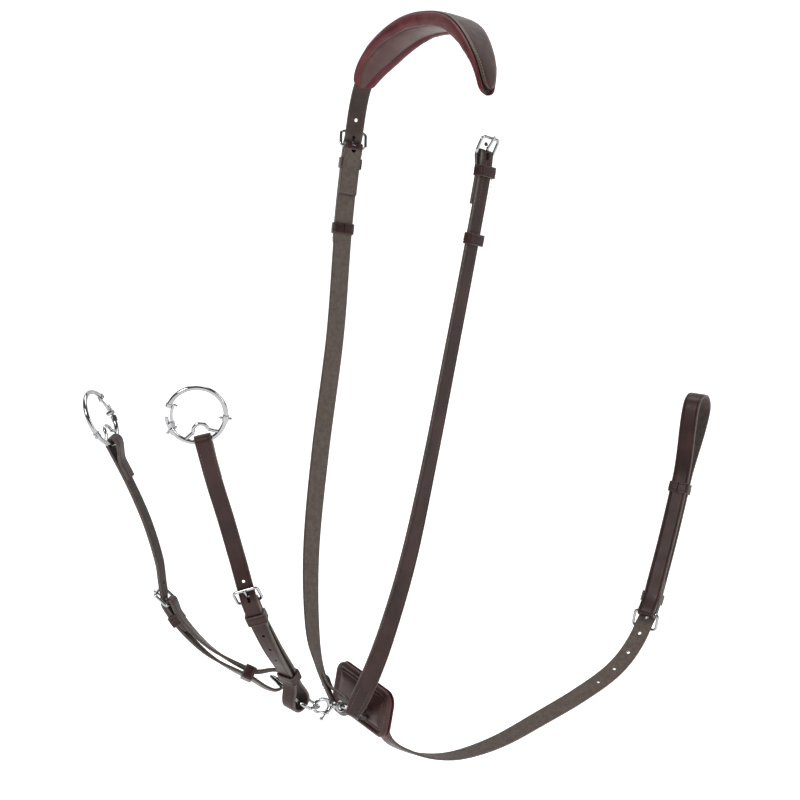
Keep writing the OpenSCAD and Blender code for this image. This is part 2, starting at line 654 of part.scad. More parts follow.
buckle_tongue(girth, girth_pivot, -1);  // girth_buckle_tongue
fixed_keeper(girth, girth_pivot, 17, strap_w);  // girth_fixed_keeper
loose_keeper(girth, girth_keeper, strap_w, -lay, 0.45);  // girth_loop_keeper
snap_swivel();
snap_body();
snap_gate();
snap_gate_pin();
snap_spring();
fork_dee();
fork_strap(near_arm);  // near_fork_strap
buckle_frame(near_arm, arm_pivot, -1, fork_w);  // near_fork_buckle_frame
buckle_tongue(near_arm, arm_pivot, -1);  // near_fork_buckle_tongue
fixed_keeper(near_arm, arm_pivot, 17, fork_w);  // near_fork_fixed_keeper
arm_loose_keeper(near_arm);  // near_fork_loose_keeper
fork_strap(far_arm);  // far_fork_strap
buckle_frame(far_arm, arm_pivot, -1, fork_w);  // far_fork_buckle_frame
buckle_tongue(far_arm, arm_pivot, -1);  // far_fork_buckle_tongue
fixed_keeper(far_arm, arm_pivot, 17, fork_w);  // far_fork_fixed_keeper
arm_loose_keeper(far_arm);  // far_fork_loose_keeper
color(steel) at_ring(near_arm) ring_base();  // near_ring_base
color(steel) at_ring(near_arm) ring_bow();  // near_ring_bow
color(steel) at_ring(near_arm) ring_gate();  // near_ring_gate
color(steel) at_ring(near_arm) ring_pins();  // near_ring_pins
color("gray") at_ring(near_arm) gate_spring();  // near_gate_spring
color(steel) at_ring(far_arm) ring_base();  // far_ring_base
color(steel) at_ring(far_arm) ring_bow();  // far_ring_bow
color(steel) at_ring(far_arm) ring_gate();  // far_ring_gate
color(steel) at_ring(far_arm) ring_pins();  // far_ring_pins
color("gray") at_ring(far_arm) gate_spring();  // far_gate_spring
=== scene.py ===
import json
import math

import bmesh
import bpy
import numpy as np
from mathutils import Matrix, Vector


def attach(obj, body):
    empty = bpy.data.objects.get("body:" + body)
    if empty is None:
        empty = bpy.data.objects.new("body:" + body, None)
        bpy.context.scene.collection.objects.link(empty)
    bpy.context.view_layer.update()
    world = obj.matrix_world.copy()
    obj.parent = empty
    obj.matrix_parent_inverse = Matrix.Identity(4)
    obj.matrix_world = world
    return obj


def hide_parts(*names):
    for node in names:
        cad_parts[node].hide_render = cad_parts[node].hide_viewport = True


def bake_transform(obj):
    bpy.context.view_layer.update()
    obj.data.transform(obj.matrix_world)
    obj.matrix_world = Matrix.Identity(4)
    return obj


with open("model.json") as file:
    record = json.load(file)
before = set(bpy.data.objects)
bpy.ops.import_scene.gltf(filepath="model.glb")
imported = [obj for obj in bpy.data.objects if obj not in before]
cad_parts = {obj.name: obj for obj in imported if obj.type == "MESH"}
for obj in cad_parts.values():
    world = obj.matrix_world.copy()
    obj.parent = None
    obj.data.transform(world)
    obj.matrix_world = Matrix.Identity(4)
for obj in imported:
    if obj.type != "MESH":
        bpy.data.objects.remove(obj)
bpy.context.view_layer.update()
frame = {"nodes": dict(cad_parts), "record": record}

# Sizes in metres, as in the CAD part.
MM = 0.001
STRAP_W = 19 * MM
FORK_W = 16 * MM
STRAP_T = 3 * MM
KEEPER_T = 1.6 * MM
KEEPER_L = 11 * MM
LAYER = STRAP_T + 0.25 * MM          # pitch of two layers of strap
BUCKLE_R = 1.5 * MM
BUCKLE_L = 17 * MM
FOLD_R = BUCKLE_R + 0.15 * MM + STRAP_T / 2
BAR_Z = -FOLD_R                      # pivot bar of a buckle, below the strap's centre line
RING_FOLD_R = 5.2 * MM
GIRTH_LOOP_R = 16 * MM
FORK_LOOP_R = 10 * MM
STEP = 3 * MM                        # distance between the sections of a strap
NECK_END_HALF_W = 7.4 * MM           # half width of a neck strap at the breast ring
BREAST_FOLD_R = 7.2 * MM             # bend of a neck strap round the breast ring

# ---- routes, in millimetres, as in part.scad ----
NECK = [[14.8, -121.1, -688.9], [43, -121, -652], [66, -116, -604], [86, -104, -530], [96, -86, -436],
        [102, -64, -326], [112, -47, -222], [116, -33, -140], [107, -26, -80], [86, -17, -42],
        [47, -8, -10], [0, -4, 0],
        [-47, -8, -6], [-86, -17, -32], [-107, -26, -64], [-116, -33, -126], [-112, -47, -210],
        [-102, -64, -320], [-96, -86, -436], [-86, -104, -536], [-66, -116, -614],
        [-43, -121, -654], [-14.8, -121.1, -688.9]]
NECK_OUT = [[0.8, -0.6, 0], [0.8, -0.5, 0], [0.95, -0.2, 0], [1, 0, 0], [0.98, 0.2, 0],
            [0.97, 0.25, 0], [0.96, 0.28, 0], [0.95, 0.32, 0.1], [0.88, 0.35, 0.3],
            [0.7, 0.3, 0.65], [0.35, 0.2, 0.92], [0, 0.18, 1],
            [-0.35, 0.2, 0.92], [-0.7, 0.3, 0.65], [-0.88, 0.35, 0.3], [-0.95, 0.32, 0.1],
            [-0.96, 0.28, 0], [-0.97, 0.25, 0], [-0.98, 0.2, 0], [-1, 0, 0], [-0.95, -0.2, 0],
            [-0.8, -0.5, 0], [-0.8, -0.6, 0]]
NEAR_PIVOT, FAR_PIVOT, NEAR_KEEPER, FAR_KEEPER, CROWN = 7, 15, 6, 16, 11
GIRTH = [[0, -81, -690], [0, -70, -721], [0, -44, -737], [0, -12, -746], [0, 24, -747],
         [0, 72, -738], [0, 124, -720], [0, 177, -700], [0, 222, -678], [0, 251, -652],
         [0, 270, -620], [0, 286, -576], [0, 300, -534], [0, 314, -488], [0, 326, -446],
         [0, 337, -404]]
GIRTH_OUT = [[0, -1, 0], [0, -0.9, -0.45], [0, -0.4, -0.9], [-0.1, 0, -1], [-0.25, 0.1, -1],
             [-0.4, 0.2, -0.9], [-0.5, 0.3, -0.8], [-0.55, 0.35, -0.72], [-0.55, 0.5, -0.6],
             [-0.5, 0.7, -0.4], [-0.45, 0.82, -0.2], [-0.42, 0.87, 0], [-0.42, 0.87, 0],
             [-0.42, 0.87, 0], [-0.42, 0.87, 0], [-0.42, 0.87, 0]]
GIRTH_PIVOT, GIRTH_KEEPER = 10, 13
NEAR_ARM = [[84, -333, -410], [78, -318, -447], [74, -303, -483], [73, -290, -521],
            [76, -278, -562], [61, -246, -606], [37, -210, -641], [24, -194, -667]]
FAR_ARM = [[-84, -338, -420], [-78, -320, -456], [-74, -303, -495], [-73, -290, -534],
           [-76, -278, -578], [-61, -246, -622], [-37, -210, -648], [-23, -188, -655]]
NEAR_ARM_OUT = [[0.82, -0.57, 0], [0.82, -0.57, 0], [0.82, -0.57, 0], [0.8, -0.58, 0],
                [0.75, -0.6, -0.15], [0.5, -0.75, -0.35], [0.2, -0.8, -0.55], [0, -0.75, -0.65]]
FAR_ARM_OUT = [[-0.75, -0.66, 0], [-0.77, -0.64, 0], [-0.8, -0.6, 0], [-0.8, -0.58, 0],
               [-0.75, -0.6, -0.15], [-0.5, -0.75, -0.35], [-0.2, -0.8, -0.55],
               [-0.15, -0.6, -0.78]]
ARM_PIVOT, ARM_KEEPER = 4, 6


def smooth(t):
    c = min(max(t, 0), 1)
    return c * c * (3 - 2 * c)


def unit(v):
    return v / np.linalg.norm(v)


class Route:
    """The way a strap runs: its points, and the way its grain side faces at each."""

    def __init__(self, points, grain):
        self.points = np.array(points, float) * MM
        self.grain = np.array(grain, float)
        self.last = len(points) - 1
        self.u = np.linspace(0, self.last, 40 * self.last + 1)
        line = np.array([self.along(self.points, u) for u in self.u])
        self.s = np.concatenate([[0], np.cumsum(np.linalg.norm(np.diff(line, axis=0), axis=1))])

    def along(self, values, u):
        i = min(max(int(math.floor(u)), 0), self.last)
        a, b, c, d = (values[min(max(k, 0), self.last)] for k in range(i - 1, i + 3))
        t = u - i
        return 0.5 * (2 * b + (c - a) * t + (2 * a - 5 * b + 4 * c - d) * t * t
                      + (3 * b - a - 3 * c + d) * t ** 3)

    def place(self, u):
        """Distance along the route of a point's number."""
        return float(np.interp(u, self.u, self.s))

    def frame(self, s):
        """Point, width way, forward way and grain way at a distance along."""
        inside = min(max(s, 0), self.s[-1])
        u = float(np.interp(inside, self.s, self.u))
        low, high = max(u - 0.05, 0), min(u + 0.05, self.last)
        t = unit(self.along(self.points, high) - self.along(self.points, low))
        h = self.along(self.grain, u)
        n = unit(h - t * (h @ t))
        return self.along(self.points, u) + t * (s - inside), np.cross(t, n), t, n


neck = Route(NECK, NECK_OUT)
girth = Route(GIRTH, GIRTH_OUT)
near_arm = Route(NEAR_ARM, NEAR_ARM_OUT)
far_arm = Route(FAR_ARM, FAR_ARM_OUT)


# ---- material building ----
class Nodes:
    """Short calls for building a material's nodes."""

    def __init__(self, name):
        self.material = bpy.data.materials.new(name)
        self.material.use_nodes = True
        self.tree = self.material.node_tree
        self.tree.nodes.clear()
        self.shader = self.node("ShaderNodeBsdfPrincipled")
        out = self.node("ShaderNodeOutputMaterial")
        self.link(self.shader.outputs[0], out.inputs[0])
        self.coords = self.node("ShaderNodeTexCoord").outputs["Object"]
        self.height = None

    def node(self, kind, **values):
        made = self.tree.nodes.new(kind)
        for key, value in values.items():
            setattr(made, key, value)
        return made

    def link(self, a, b):
        self.tree.links.new(a, b)

    def feed(self, socket, value):
        if hasattr(value, "is_output"):
            self.link(value, socket)
        else:
            socket.default_value = value

    def noise(self, scale, detail=3.0, rough=0.55):
        made = self.node("ShaderNodeTexNoise")
        made.inputs["Scale"].default_value = scale
        made.inputs["Detail"].default_value = detail
        made.inputs["Roughness"].default_value = rough
        self.link(self.coords, made.inputs["Vector"])
        return made.outputs[0]

    def cells(self, scale):
        made = self.node("ShaderNodeTexVoronoi", feature="SMOOTH_F1")
        made.inputs["Scale"].default_value = scale
        self.link(self.coords, made.inputs["Vector"])
        return made.outputs["Distance"]

    def ramp(self, value, stops):
        made = self.node("ShaderNodeValToRGB")
        made.color_ramp.elements[0].position = stops[0][0]
        made.color_ramp.elements[0].color = (*stops[0][1], 1)
        made.color_ramp.elements[1].position = stops[-1][0]
        made.color_ramp.elements[1].color = (*stops[-1][1], 1)
        for place, colour in stops[1:-1]:
            made.color_ramp.elements.new(place).color = (*colour, 1)
        self.link(value, made.inputs[0])
        return made.outputs[0]

    def span(self, value, low, high, to_low, to_high):
        made = self.node("ShaderNodeMapRange")
        for key, number in zip(("From Min", "From Max", "To Min", "To Max"),
                               (low, high, to_low, to_high)):
            made.inputs[key].default_value = number
        self.link(value, made.inputs["Value"])
        return made.outputs[0]

    def maths(self, operation, a, b=0.0):
        made = self.node("ShaderNodeMath", operation=operation)
        self.feed(made.inputs[0], a)
        self.feed(made.inputs[1], b)
        return made.outputs[0]

    def mix(self, share, a, b):
        made = self.node("ShaderNodeMix", data_type="RGBA", blend_type="MIX")
        self.feed(made.inputs["Factor"], share)
        self.feed(made.inputs[6], a if hasattr(a, "is_output") else (*a, 1))
        self.feed(made.inputs[7], b if hasattr(b, "is_output") else (*b, 1))
        return made.outputs[2]

    def uv(self):
        made = self.node("ShaderNodeSeparateXYZ")
        self.link(self.node("ShaderNodeUVMap", uv_map="strap").outputs[0], made.inputs[0])
        return made.outputs[0], made.outputs[1]

    def bump(self, height, distance, strength=1.0):
        made = self.node("ShaderNodeBump")
        made.inputs["Strength"].default_value = strength
        made.inputs["Distance"].default_value = distance
        self.link(height, made.inputs["Height"])
        if self.height is not None:
            self.link(self.height, made.inputs["Normal"])
        self.height = made.outputs[0]
        self.link(self.height, self.shader.inputs["Normal"])

    def set(self, **values):
        names = {"colour": "Base Color", "metal": "Metallic", "rough": "Roughness",
                 "coat": "Coat Weight", "coat_rough": "Coat Roughness", "sheen": "Sheen Weight",
                 "sheen_rough": "Sheen Roughness", "sheen_tint": "Sheen Tint",
                 "specular": "Specular IOR Level", "ior": "IOR"}
        for key, value in values.items():
            socket = self.shader.inputs[names[key]]
            if isinstance(value, tuple) and len(value) == 3:
                value = (*value, 1)
            self.feed(socket, value)
        return self


def grain_leather(name, dark, mid, light, painted_highlight_colour):
    """Smooth bridle leather: fine pores, soft mottling, and a painted highlight in lighter patches
    along both edges of the grain side.
    """
    m = Nodes(name)
    across, _ = m.uv()
    mottle = m.ramp(m.noise(38, 4), [(0.28, dark), (0.5, mid), (0.75, light)])
    pores = m.noise(900, 2)
    colour = m.mix(m.span(pores, 0.35, 0.7, 0.22, 0.0), mottle, tuple(c * 0.35 for c in dark))
    # Painted highlight: patches of a lighter colour along both edges of the grain side, over the
    # crease lines.
    edge = m.span(m.maths("ABSOLUTE", across), 0.62, 1.0, 0.0, 0.55)
    painted_edge_highlight = m.maths("MULTIPLY", edge, m.span(m.noise(160, 3), 0.42, 0.72, 0.0, 0.6))
    colour = m.mix(painted_edge_highlight, colour, painted_highlight_colour)
    m.set(colour=colour, rough=m.span(m.noise(120, 4), 0.3, 0.7, 0.34, 0.48),
          coat=0.05, coat_rough=0.3, specular=0.22)
    m.bump(m.cells(1500), 0.00012, 0.5)
    m.bump(m.noise(420, 5, 0.65), 0.0002, 0.35)
    return m.material


def flesh_leather(name, dark, light):
    """The flesh side: matt, fibrous and greyer."""
    m = Nodes(name)
    colour = m.ramp(m.noise(220, 6, 0.7), [(0.3, dark), (0.7, light)])
    fibres = m.noise(1300, 3, 0.7)
    colour = m.mix(m.span(fibres, 0.3, 0.7, 0.35, 0.0), colour, tuple(c * 0.4 for c in dark))
    m.set(colour=colour, rough=0.78, specular=0.2, sheen=0.06, sheen_rough=0.5)
    m.bump(fibres, 0.0003, 0.7)
    m.bump(m.noise(300, 5, 0.7), 0.0004, 0.4)
    return m.material


def edge_leather(name, dark, light):
    """Dyed and burnished cut edge."""
    m = Nodes(name)
    colour = m.ramp(m.noise(500, 4), [(0.3, dark), (0.72, light)])
    m.set(colour=colour, rough=0.4, coat=0.1, coat_rough=0.3, specular=0.4)
    m.bump(m.noise(700, 4, 0.7), 0.00015, 0.5)
    return m.material


def polished_steel(name, colour, low, high):
    """Polished stainless steel with fine polishing marks."""
    m = Nodes(name)
    tint = m.mix(m.span(m.noise(90, 4), 0.35, 0.7, 0.0, 1.0), colour,
                 tuple(c * 0.86 for c in colour))
    m.set(colour=tint, metal=1.0, rough=m.span(m.noise(350, 4), 0.3, 0.7, low, high))
    m.bump(m.noise(1400, 3), 0.00003, 0.4)
    return m.material


def thread_material(name, colour):
    """Waxed linen thread, twisted."""
    m = Nodes(name)
    tint = m.mix(m.span(m.noise(900, 3), 0.35, 0.65, 0.0, 0.6), colour,
                 tuple(c * 0.55 for c in colour))
    m.set(colour=tint, rough=0.62, specular=0.3)
    m.bump(m.noise(2600, 2), 0.0001, 0.7)
    return m.material


# The last colour given to each grain leather is its painted highlight along the edges of the grain
# side.
GRAIN = grain_leather("bridle_leather", (0.013, 0.0044, 0.0036), (0.025, 0.0085, 0.007),
                      (0.04, 0.015, 0.0125), (0.11, 0.062, 0.05))
PAD_GRAIN = grain_leather("pad_leather", (0.024, 0.0085, 0.007), (0.04, 0.0155, 0.0125),
                          (0.062, 0.028, 0.023), (0.13, 0.08, 0.066))
FLESH = flesh_leather("leather_flesh_side", (0.068, 0.052, 0.043), (0.118, 0.093, 0.08))
DARK_FLESH = flesh_leather("leather_dark_flesh_side", (0.022, 0.015, 0.012), (0.05, 0.036, 0.03))
SMOOTH_BACK = grain_leather("smooth_back_leather", (0.028, 0.018, 0.015), (0.042, 0.028, 0.024),
                            (0.06, 0.042, 0.036), (0.09, 0.065, 0.055))
EDGE = edge_leather("burnished_edge", (0.02, 0.012, 0.0095), (0.075, 0.052, 0.043))
LINING = grain_leather("burgundy_leather", (0.055, 0.0085, 0.0105), (0.08, 0.014, 0.0165),
                       (0.105, 0.024, 0.026), (0.13, 0.038, 0.038))
LINING_PANEL = grain_leather("lining_panel_leather", (0.05, 0.024, 0.022), (0.072, 0.036, 0.033),
                             (0.1, 0.055, 0.05), (0.11, 0.06, 0.055))
STEEL = polished_steel("polished_steel", (0.36, 0.36, 0.37), 0.06, 0.14)
DULL_STEEL = polished_steel("spring_steel", (0.26, 0.26, 0.27), 0.22, 0.35)
TAN_THREAD = thread_material("tan_thread", (0.32, 0.22, 0.14))
BROWN_THREAD = thread_material("brown_thread", (0.085, 0.05, 0.04))


# ---- mesh building ----
def finish_piece(mesh, name, body, replaces=(), smooth_angle=None):
    """Links a mesh as a piece that rides on a body."""
    piece = bpy.data.objects.new(name, mesh)
    bpy.context.scene.collection.objects.link(piece)
    for polygon in mesh.polygons:
        polygon.use_smooth = True
    if smooth_angle is not None:
        mesh.set_sharp_from_angle(angle=math.radians(smooth_angle))
    if body:
        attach(piece, body)
    if replaces:
        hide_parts(*replaces)
    return piece


def section(route, s, z=0.0, side=1, hw=STRAP_W / 2, ht=STRAP_T / 2):
    """Centre, width way, grain way, half width, half thickness."""
    p, w, _, n = route.frame(s)
    return p + n * z, w, n * side, hw, ht


def turn(route, s, zc, r, way, angles, hw, ht=STRAP_T / 2):
    """Sections of a strap turned round a bar, from 0 on the grain side to 180 on the flesh side."""
    p, w, t, n = route.frame(s)
    out = []
    for a in angles:
        c, d = math.cos(math.radians(a)), math.sin(math.radians(a))
        out.append((p + t * (way * r * d) + n * (zc + r * c), w, t * (way * d) + n * c, hw, ht))
    return out


def lane(route, s0, s1, z=0.0, side=1, hw=STRAP_W / 2, ht=STRAP_T / 2, step=STEP):
    """Sections from one distance along to another; z and hw may be functions of the distance."""
    count = max(2, int(round(abs(s1 - s0) / step)) + 1)
    return [section(route, s, z(s) if callable(z) else z, side, hw(s) if callable(hw) else hw, ht)
            for s in np.linspace(s0, s1, count)]


def tip_width(end, hw, point=12 * MM):
    """Half width of a strap with a rounded point at the distance end."""
    return lambda s: max(hw * math.sqrt(max(1 - (1 - min(abs(s - end), point) / point) ** 2.2, 0)),
                         0.6 * MM)


CREASE_IN = 2.3 * MM                 # crease line's distance from the edge


def strap_outline(hw, ht):
    """Outline of a strap's section, clockwise from the middle of the grain side: x, z and kind."""
    f = min(1.0, hw / (5 * MM))
    e = min(0.75 * MM, ht * 0.6) * f
    half = [(0.0, ht, "grain"), (hw * 0.5, ht, "grain"),
            (hw - (CREASE_IN + 0.55 * MM) * f, ht, "grain"),
            (hw - CREASE_IN * f, ht - 0.32 * MM, "grain"),
            (hw - (CREASE_IN - 0.5 * MM) * f, ht, "grain"),
            (hw - e, ht - 0.04 * MM, "edge"), (hw - 0.3 * e, ht - 0.35 * e, "edge"),
            (hw, ht - e, "edge"), (hw, -ht + e, "edge"), (hw - 0.3 * e, -ht + 0.3 * e, "edge"),
            (hw - e, -ht, "flesh"), (hw * 0.5, -ht, "flesh")]
    back = [(-x, z) for x, z, _ in reversed(half[1:])]
    kinds = [k for _, _, k in half]
    left = list(reversed(kinds))
    outline = [(x, z) for x, z, _ in half] + [(0.0, -ht)] + back
    return outline, kinds + left


def strap_mesh(name, sections, materials):
    """Closed mesh of a strap with the materials for its grain side, edge and flesh side."""
    order = {"grain": 0, "edge": 1, "flesh": 2}
    bm = bmesh.new()
    uv = bm.loops.layers.uv.new("strap")
    rows = []
    handed = 1
    first, second = sections[0], sections[1]
    if np.cross(first[1], first[2]) @ (second[0] - first[0]) > 0:
        handed = -1
    lengths = [0.0]
    for a, b in zip(sections, sections[1:]):
        lengths.append(lengths[-1] + float(np.linalg.norm(b[0] - a[0])))
    for p, w, n, hw, ht in sections:
        outline, kinds = strap_outline(hw, ht)
        rows.append([(bm.verts.new(p + w * x + n * z), x / hw) for x, z in outline])
    count = len(rows[0])
    for i, (a, b) in enumerate(zip(rows, rows[1:])):
        for k in range(count):
            j = (k + 1) % count
            corners = [(a[k], lengths[i]), (a[j], lengths[i]), (b[j], lengths[i + 1]),
                       (b[k], lengths[i + 1])]
            if handed > 0:
                corners.reverse()
            face = bm.faces.new([c[0][0] for c in corners])
            face.material_index = order[kinds[k]]
            for loop, (vertex, length) in zip(face.loops, corners):
                loop[uv].uv = (vertex[1], length)
    for row, flip in ((rows[0], handed > 0), (rows[-1], handed < 0)):
        loop = [v for v, _ in row]
        face = bm.faces.new(loop if flip else loop[::-1])
        face.material_index = order["edge"]
        for corner in face.loops:
            corner[uv].uv = (1.0, 0.0)
    bmesh.ops.recalc_face_normals(bm, faces=bm.faces)
    mesh = bpy.data.meshes.new(name)
    bm.to_mesh(mesh)
    bm.free()
    for material in materials:
        mesh.materials.append(material)
    return mesh


def cutter(shapes):
    """One mesh of upright slots; each is a centre, frame (w, t, n), half length, half width, depth."""
    bm = bmesh.new()
    sides = 20
    for p, w, t, n, half_l, half_w, depth in shapes:
        ring = []
        for k in range(sides):
            a = 2 * math.pi * k / sides
            x = half_w * math.cos(a)
            y = half_w * math.sin(a) + (half_l - half_w) * (1 if math.sin(a) > 0 else -1)
            ring.append(w * x + t * y)
        low = [bm.verts.new(p + v - n * depth) for v in ring]
        high = [bm.verts.new(p + v + n * depth) for v in ring]
        for k in range(sides):
            j = (k + 1) % sides
            bm.faces.new([low[k], low[j], high[j], high[k]])
        bm.faces.new(low[::-1])
        bm.faces.new(high)
    bmesh.ops.recalc_face_normals(bm, faces=bm.faces)
    mesh = bpy.data.meshes.new("cutter")
    bm.to_mesh(mesh)
    bm.free()
    mesh.materials.append(EDGE)
    return mesh


def cut_holes(mesh, shapes):
    """Cuts holes, slots and shallow hollows in a strap's mesh."""
    blank = bpy.data.objects.new("blank", mesh)
    tool = bpy.data.objects.new("tool", cutter(shapes))
    for piece in (blank, tool):
        bpy.context.scene.collection.objects.link(piece)
    change = blank.modifiers.new("holes", "BOOLEAN")
    change.operation = "DIFFERENCE"
    change.solver = "EXACT"
    change.object = tool
    change.material_mode = "TRANSFER"
    bpy.context.view_layer.update()
    made = bpy.data.meshes.new_from_object(
        blank.evaluated_get(bpy.context.evaluated_depsgraph_get()))
    bpy.data.objects.remove(blank)
    bpy.data.objects.remove(tool)
    return made


def hole(route, s, z=0.0, r=1.9 * MM, half_l=None, depth=STRAP_T):
    """Cutting shape at a distance along a strap: round, or a slot where half_l is given."""
    p, w, t, n = route.frame(s)
    return p + n * z, w, t, n, half_l or r, r, depth


def stitches(name, rows, body, material, length=2.6 * MM, r=0.42 * MM, slant=0.18):
    """Rows of stitches; each is a centre, way along, way across and way out of the leather."""
    bm = bmesh.new()
    rings = [(-1.0, 0.25), (-0.7, 0.85), (0.0, 1.0), (0.7, 0.85), (1.0, 0.25)]
    sides = 6
    for p, t, w, n in rows:
        way = unit(t + w * slant)
        side = unit(np.cross(n, way))
        loops = []
        for y, scale in rings:
            loops.append([bm.verts.new(
                p + way * (y * length / 2)
                + side * (r * scale * math.cos(2 * math.pi * k / sides))
                + n * (r * scale * math.sin(2 * math.pi * k / sides) * 0.8))
                for k in range(sides)])
        for a, b in zip(loops, loops[1:]):
            for k in range(sides):
                j = (k + 1) % sides
                bm.faces.new([a[k], a[j], b[j], b[k]])
        bm.faces.new(loops[0][::-1])
        bm.faces.new(loops[-1])
    bmesh.ops.recalc_face_normals(bm, faces=bm.faces)
    mesh = bpy.data.meshes.new(name)
    bm.to_mesh(mesh)
    bm.free()
    mesh.materials.append(material)
    return finish_piece(mesh, name, body)


def stitch_row(route, s0, s1, x, z, side=1, pitch=3.6 * MM):
    """Places of stitches along a strap, x across and z from its centre line."""
    count = max(2, int(abs(s1 - s0) / pitch))
    out = []
    for k in range(count):
        s = s0 + (s1 - s0) * (k + 0.5) / count
        p, w, t, n = route.frame(s)
        out.append((p + w * x + n * (z(s) if callable(z) else z), t, w, n * side))
    return out


# ---- straps ----
STRAP_LOOK = [GRAIN, EDGE, FLESH]
FORK_LOOK = [GRAIN, EDGE, DARK_FLESH]
BILLET_LOOK = [GRAIN, EDGE, SMOOTH_BACK]


def climb(y):
    """Height of a strap that passes over a turned one, y past the buckle's bar."""
    return LAYER * (1 - smooth(y / (BUCKLE_L - 3 * MM)))


def close_up(y, r, length):
    """Height of the lower layer of a turned strap, which closes up away from the bar."""
    return -2 * r + (2 * r - LAYER) * smooth(y / length)


def billet(name, pivot, way, tip, holes):
    at = neck.place(pivot)
    end = at - way * tip
    inside = neck.place(pivot + way * 1.4)
    tongue_at = at + way * 6 * MM
    sections = lane(neck, end, inside, lambda s: climb(max(way * (s - at), 0)), 1,
                    tip_width(end, STRAP_W / 2))
    shapes = [hole(neck, at + way * y, LAYER if y < 0 else 0, depth=2.5 * MM) for y in holes]
    shapes.append(hole(neck, tongue_at, 2.6 * MM, 1.5 * MM, 4.5 * MM, 2.6 * MM))
    mesh = cut_holes(strap_mesh(name, sections, BILLET_LOOK), shapes)
    return finish_piece(mesh, name, "harness", [name], 40)


def neck_strap(name, pivot, way, end_point):
    at, end = neck.place(pivot), neck.place(end_point)
    hw, end_hw, r = STRAP_W / 2, NECK_END_HALF_W, BREAST_FOLD_R

    def width(s):
        return end_hw + (hw - end_hw) * smooth(abs(s - end) / (14 * MM))

    under = lane(neck, at - way * 50 * MM, at - way * 2 * MM,
                 lambda s: close_up(way * (at - s), FOLD_R, 20 * MM), -1, hw)
    sections = (
        under + turn(neck, at, BAR_Z, FOLD_R, way, range(180, -1, -15), hw)
        + lane(neck, at - way * 3 * MM, end + way * 1 * MM, 0, 1, width)
        + turn(neck, end, -r, r, -way, range(0, 181, 15), end_hw)
        + lane(neck, end + way * 2 * MM, end + way * 38 * MM,
               lambda s: close_up(way * (s - end), r, 28 * MM), -1, end_hw))
    p, w, t, n = neck.frame(at)
    shapes = [(p + t * way * 3 * MM - n * 2.6 * MM, w, t, n, 9 * MM, 2.4 * MM, 5 * MM)]
    mesh = strap_mesh(name, sections, STRAP_LOOK)
    rough_side(mesh, len(under))
    finish_piece(cut_holes(mesh, shapes), name, "harness", [name], 40)
    rows = []
    for x in (-1, 1):
        for low, high, base, side in ((8, 46, at, -1), (9, 34, end, -1), (9, 34, end, 1)):
            toward = -way if base == at else way
            inset = (hw if base == at else end_hw) - 2.4 * MM
            fold = FOLD_R if base == at else r
            for p, t, w, n in stitch_row(neck, base + toward * low * MM, base + toward * high * MM,
                                         x * inset, 0, side, 3.4 * MM):
                y = abs((p - neck.frame(base)[0]) @ neck.frame(base)[2])
                z = close_up(y, fold, 20 * MM if base == at else 28 * MM) if side < 0 else 0
                rows.append((p + n * side * (abs(z) + STRAP_T / 2 - 0.05 * MM), t, w, n))
    stitches(name + "_stitches", rows, "harness", BROWN_THREAD, 2.4 * MM, 0.36 * MM)


def rough_side(mesh, rows):
    """Shows the flesh side on the outside of a strap's first rows of sections."""
    around = len(strap_outline(1.0, 1.0)[1])
    for polygon in mesh.polygons[:around * (rows - 1)]:
        if polygon.material_index == 0:
            polygon.material_index = 2


billet("near_billet", NEAR_PIVOT, 1, 117 * MM, [y * MM for y in (28, 10, -33, -60, -92)])
billet("far_billet", FAR_PIVOT, -1, 108 * MM, [y * MM for y in (28, 10, -33, -60, -86)])
neck_strap("near_neck_strap", NEAR_PIVOT, 1, 0)
neck_strap("far_neck_strap", FAR_PIVOT, -1, neck.last)


def loop_half(y, length, r):
    return LAYER + (r - LAYER) * smooth(1 - y / length)


def girth_strap():
    hw = STRAP_W / 2
    at, end = girth.place(GIRTH_PIVOT), girth.s[-1]
    long = 80 * MM

    def spread(s):
        return loop_half(end - s, long, GIRTH_LOOP_R)

    sections = (
        lane(girth, -13 * MM, at + 40 * MM, lambda s: LAYER * smooth((s - at + 14 * MM) / (14 * MM)),
             1, hw)
        + lane(girth, at + 44 * MM, end - 0.5 * MM, spread, 1, hw)
        + turn(girth, end, 0, GIRTH_LOOP_R, 1, range(8, 173, 8), hw)
        + lane(girth, end - 0.5 * MM, at + 44 * MM, lambda s: -spread(s), -1, hw)
        + lane(girth, at + 40 * MM, at + 2 * MM, lambda s: close_up(s - at, FOLD_R, 20 * MM),
               -1, hw)
        + turn(girth, at, BAR_Z, FOLD_R, -1, range(180, -1, -15), hw)
        + lane(girth, at + 3 * MM, at + 42 * MM, 0, 1, tip_width(at + 46 * MM, hw)))
    shapes = [hole(girth, at - y * MM, depth=2.5 * MM) for y in (24, 49, 74, 99)]
    shapes.append(hole(girth, at - 6 * MM, 2.6 * MM, 1.5 * MM, 4.5 * MM, 2.6 * MM))
    mesh = cut_holes(strap_mesh("girth_strap", sections, STRAP_LOOK), shapes)
    piece = finish_piece(mesh, "girth_strap", None, ["girth_strap"], 40)
    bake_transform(piece)


girth_strap()


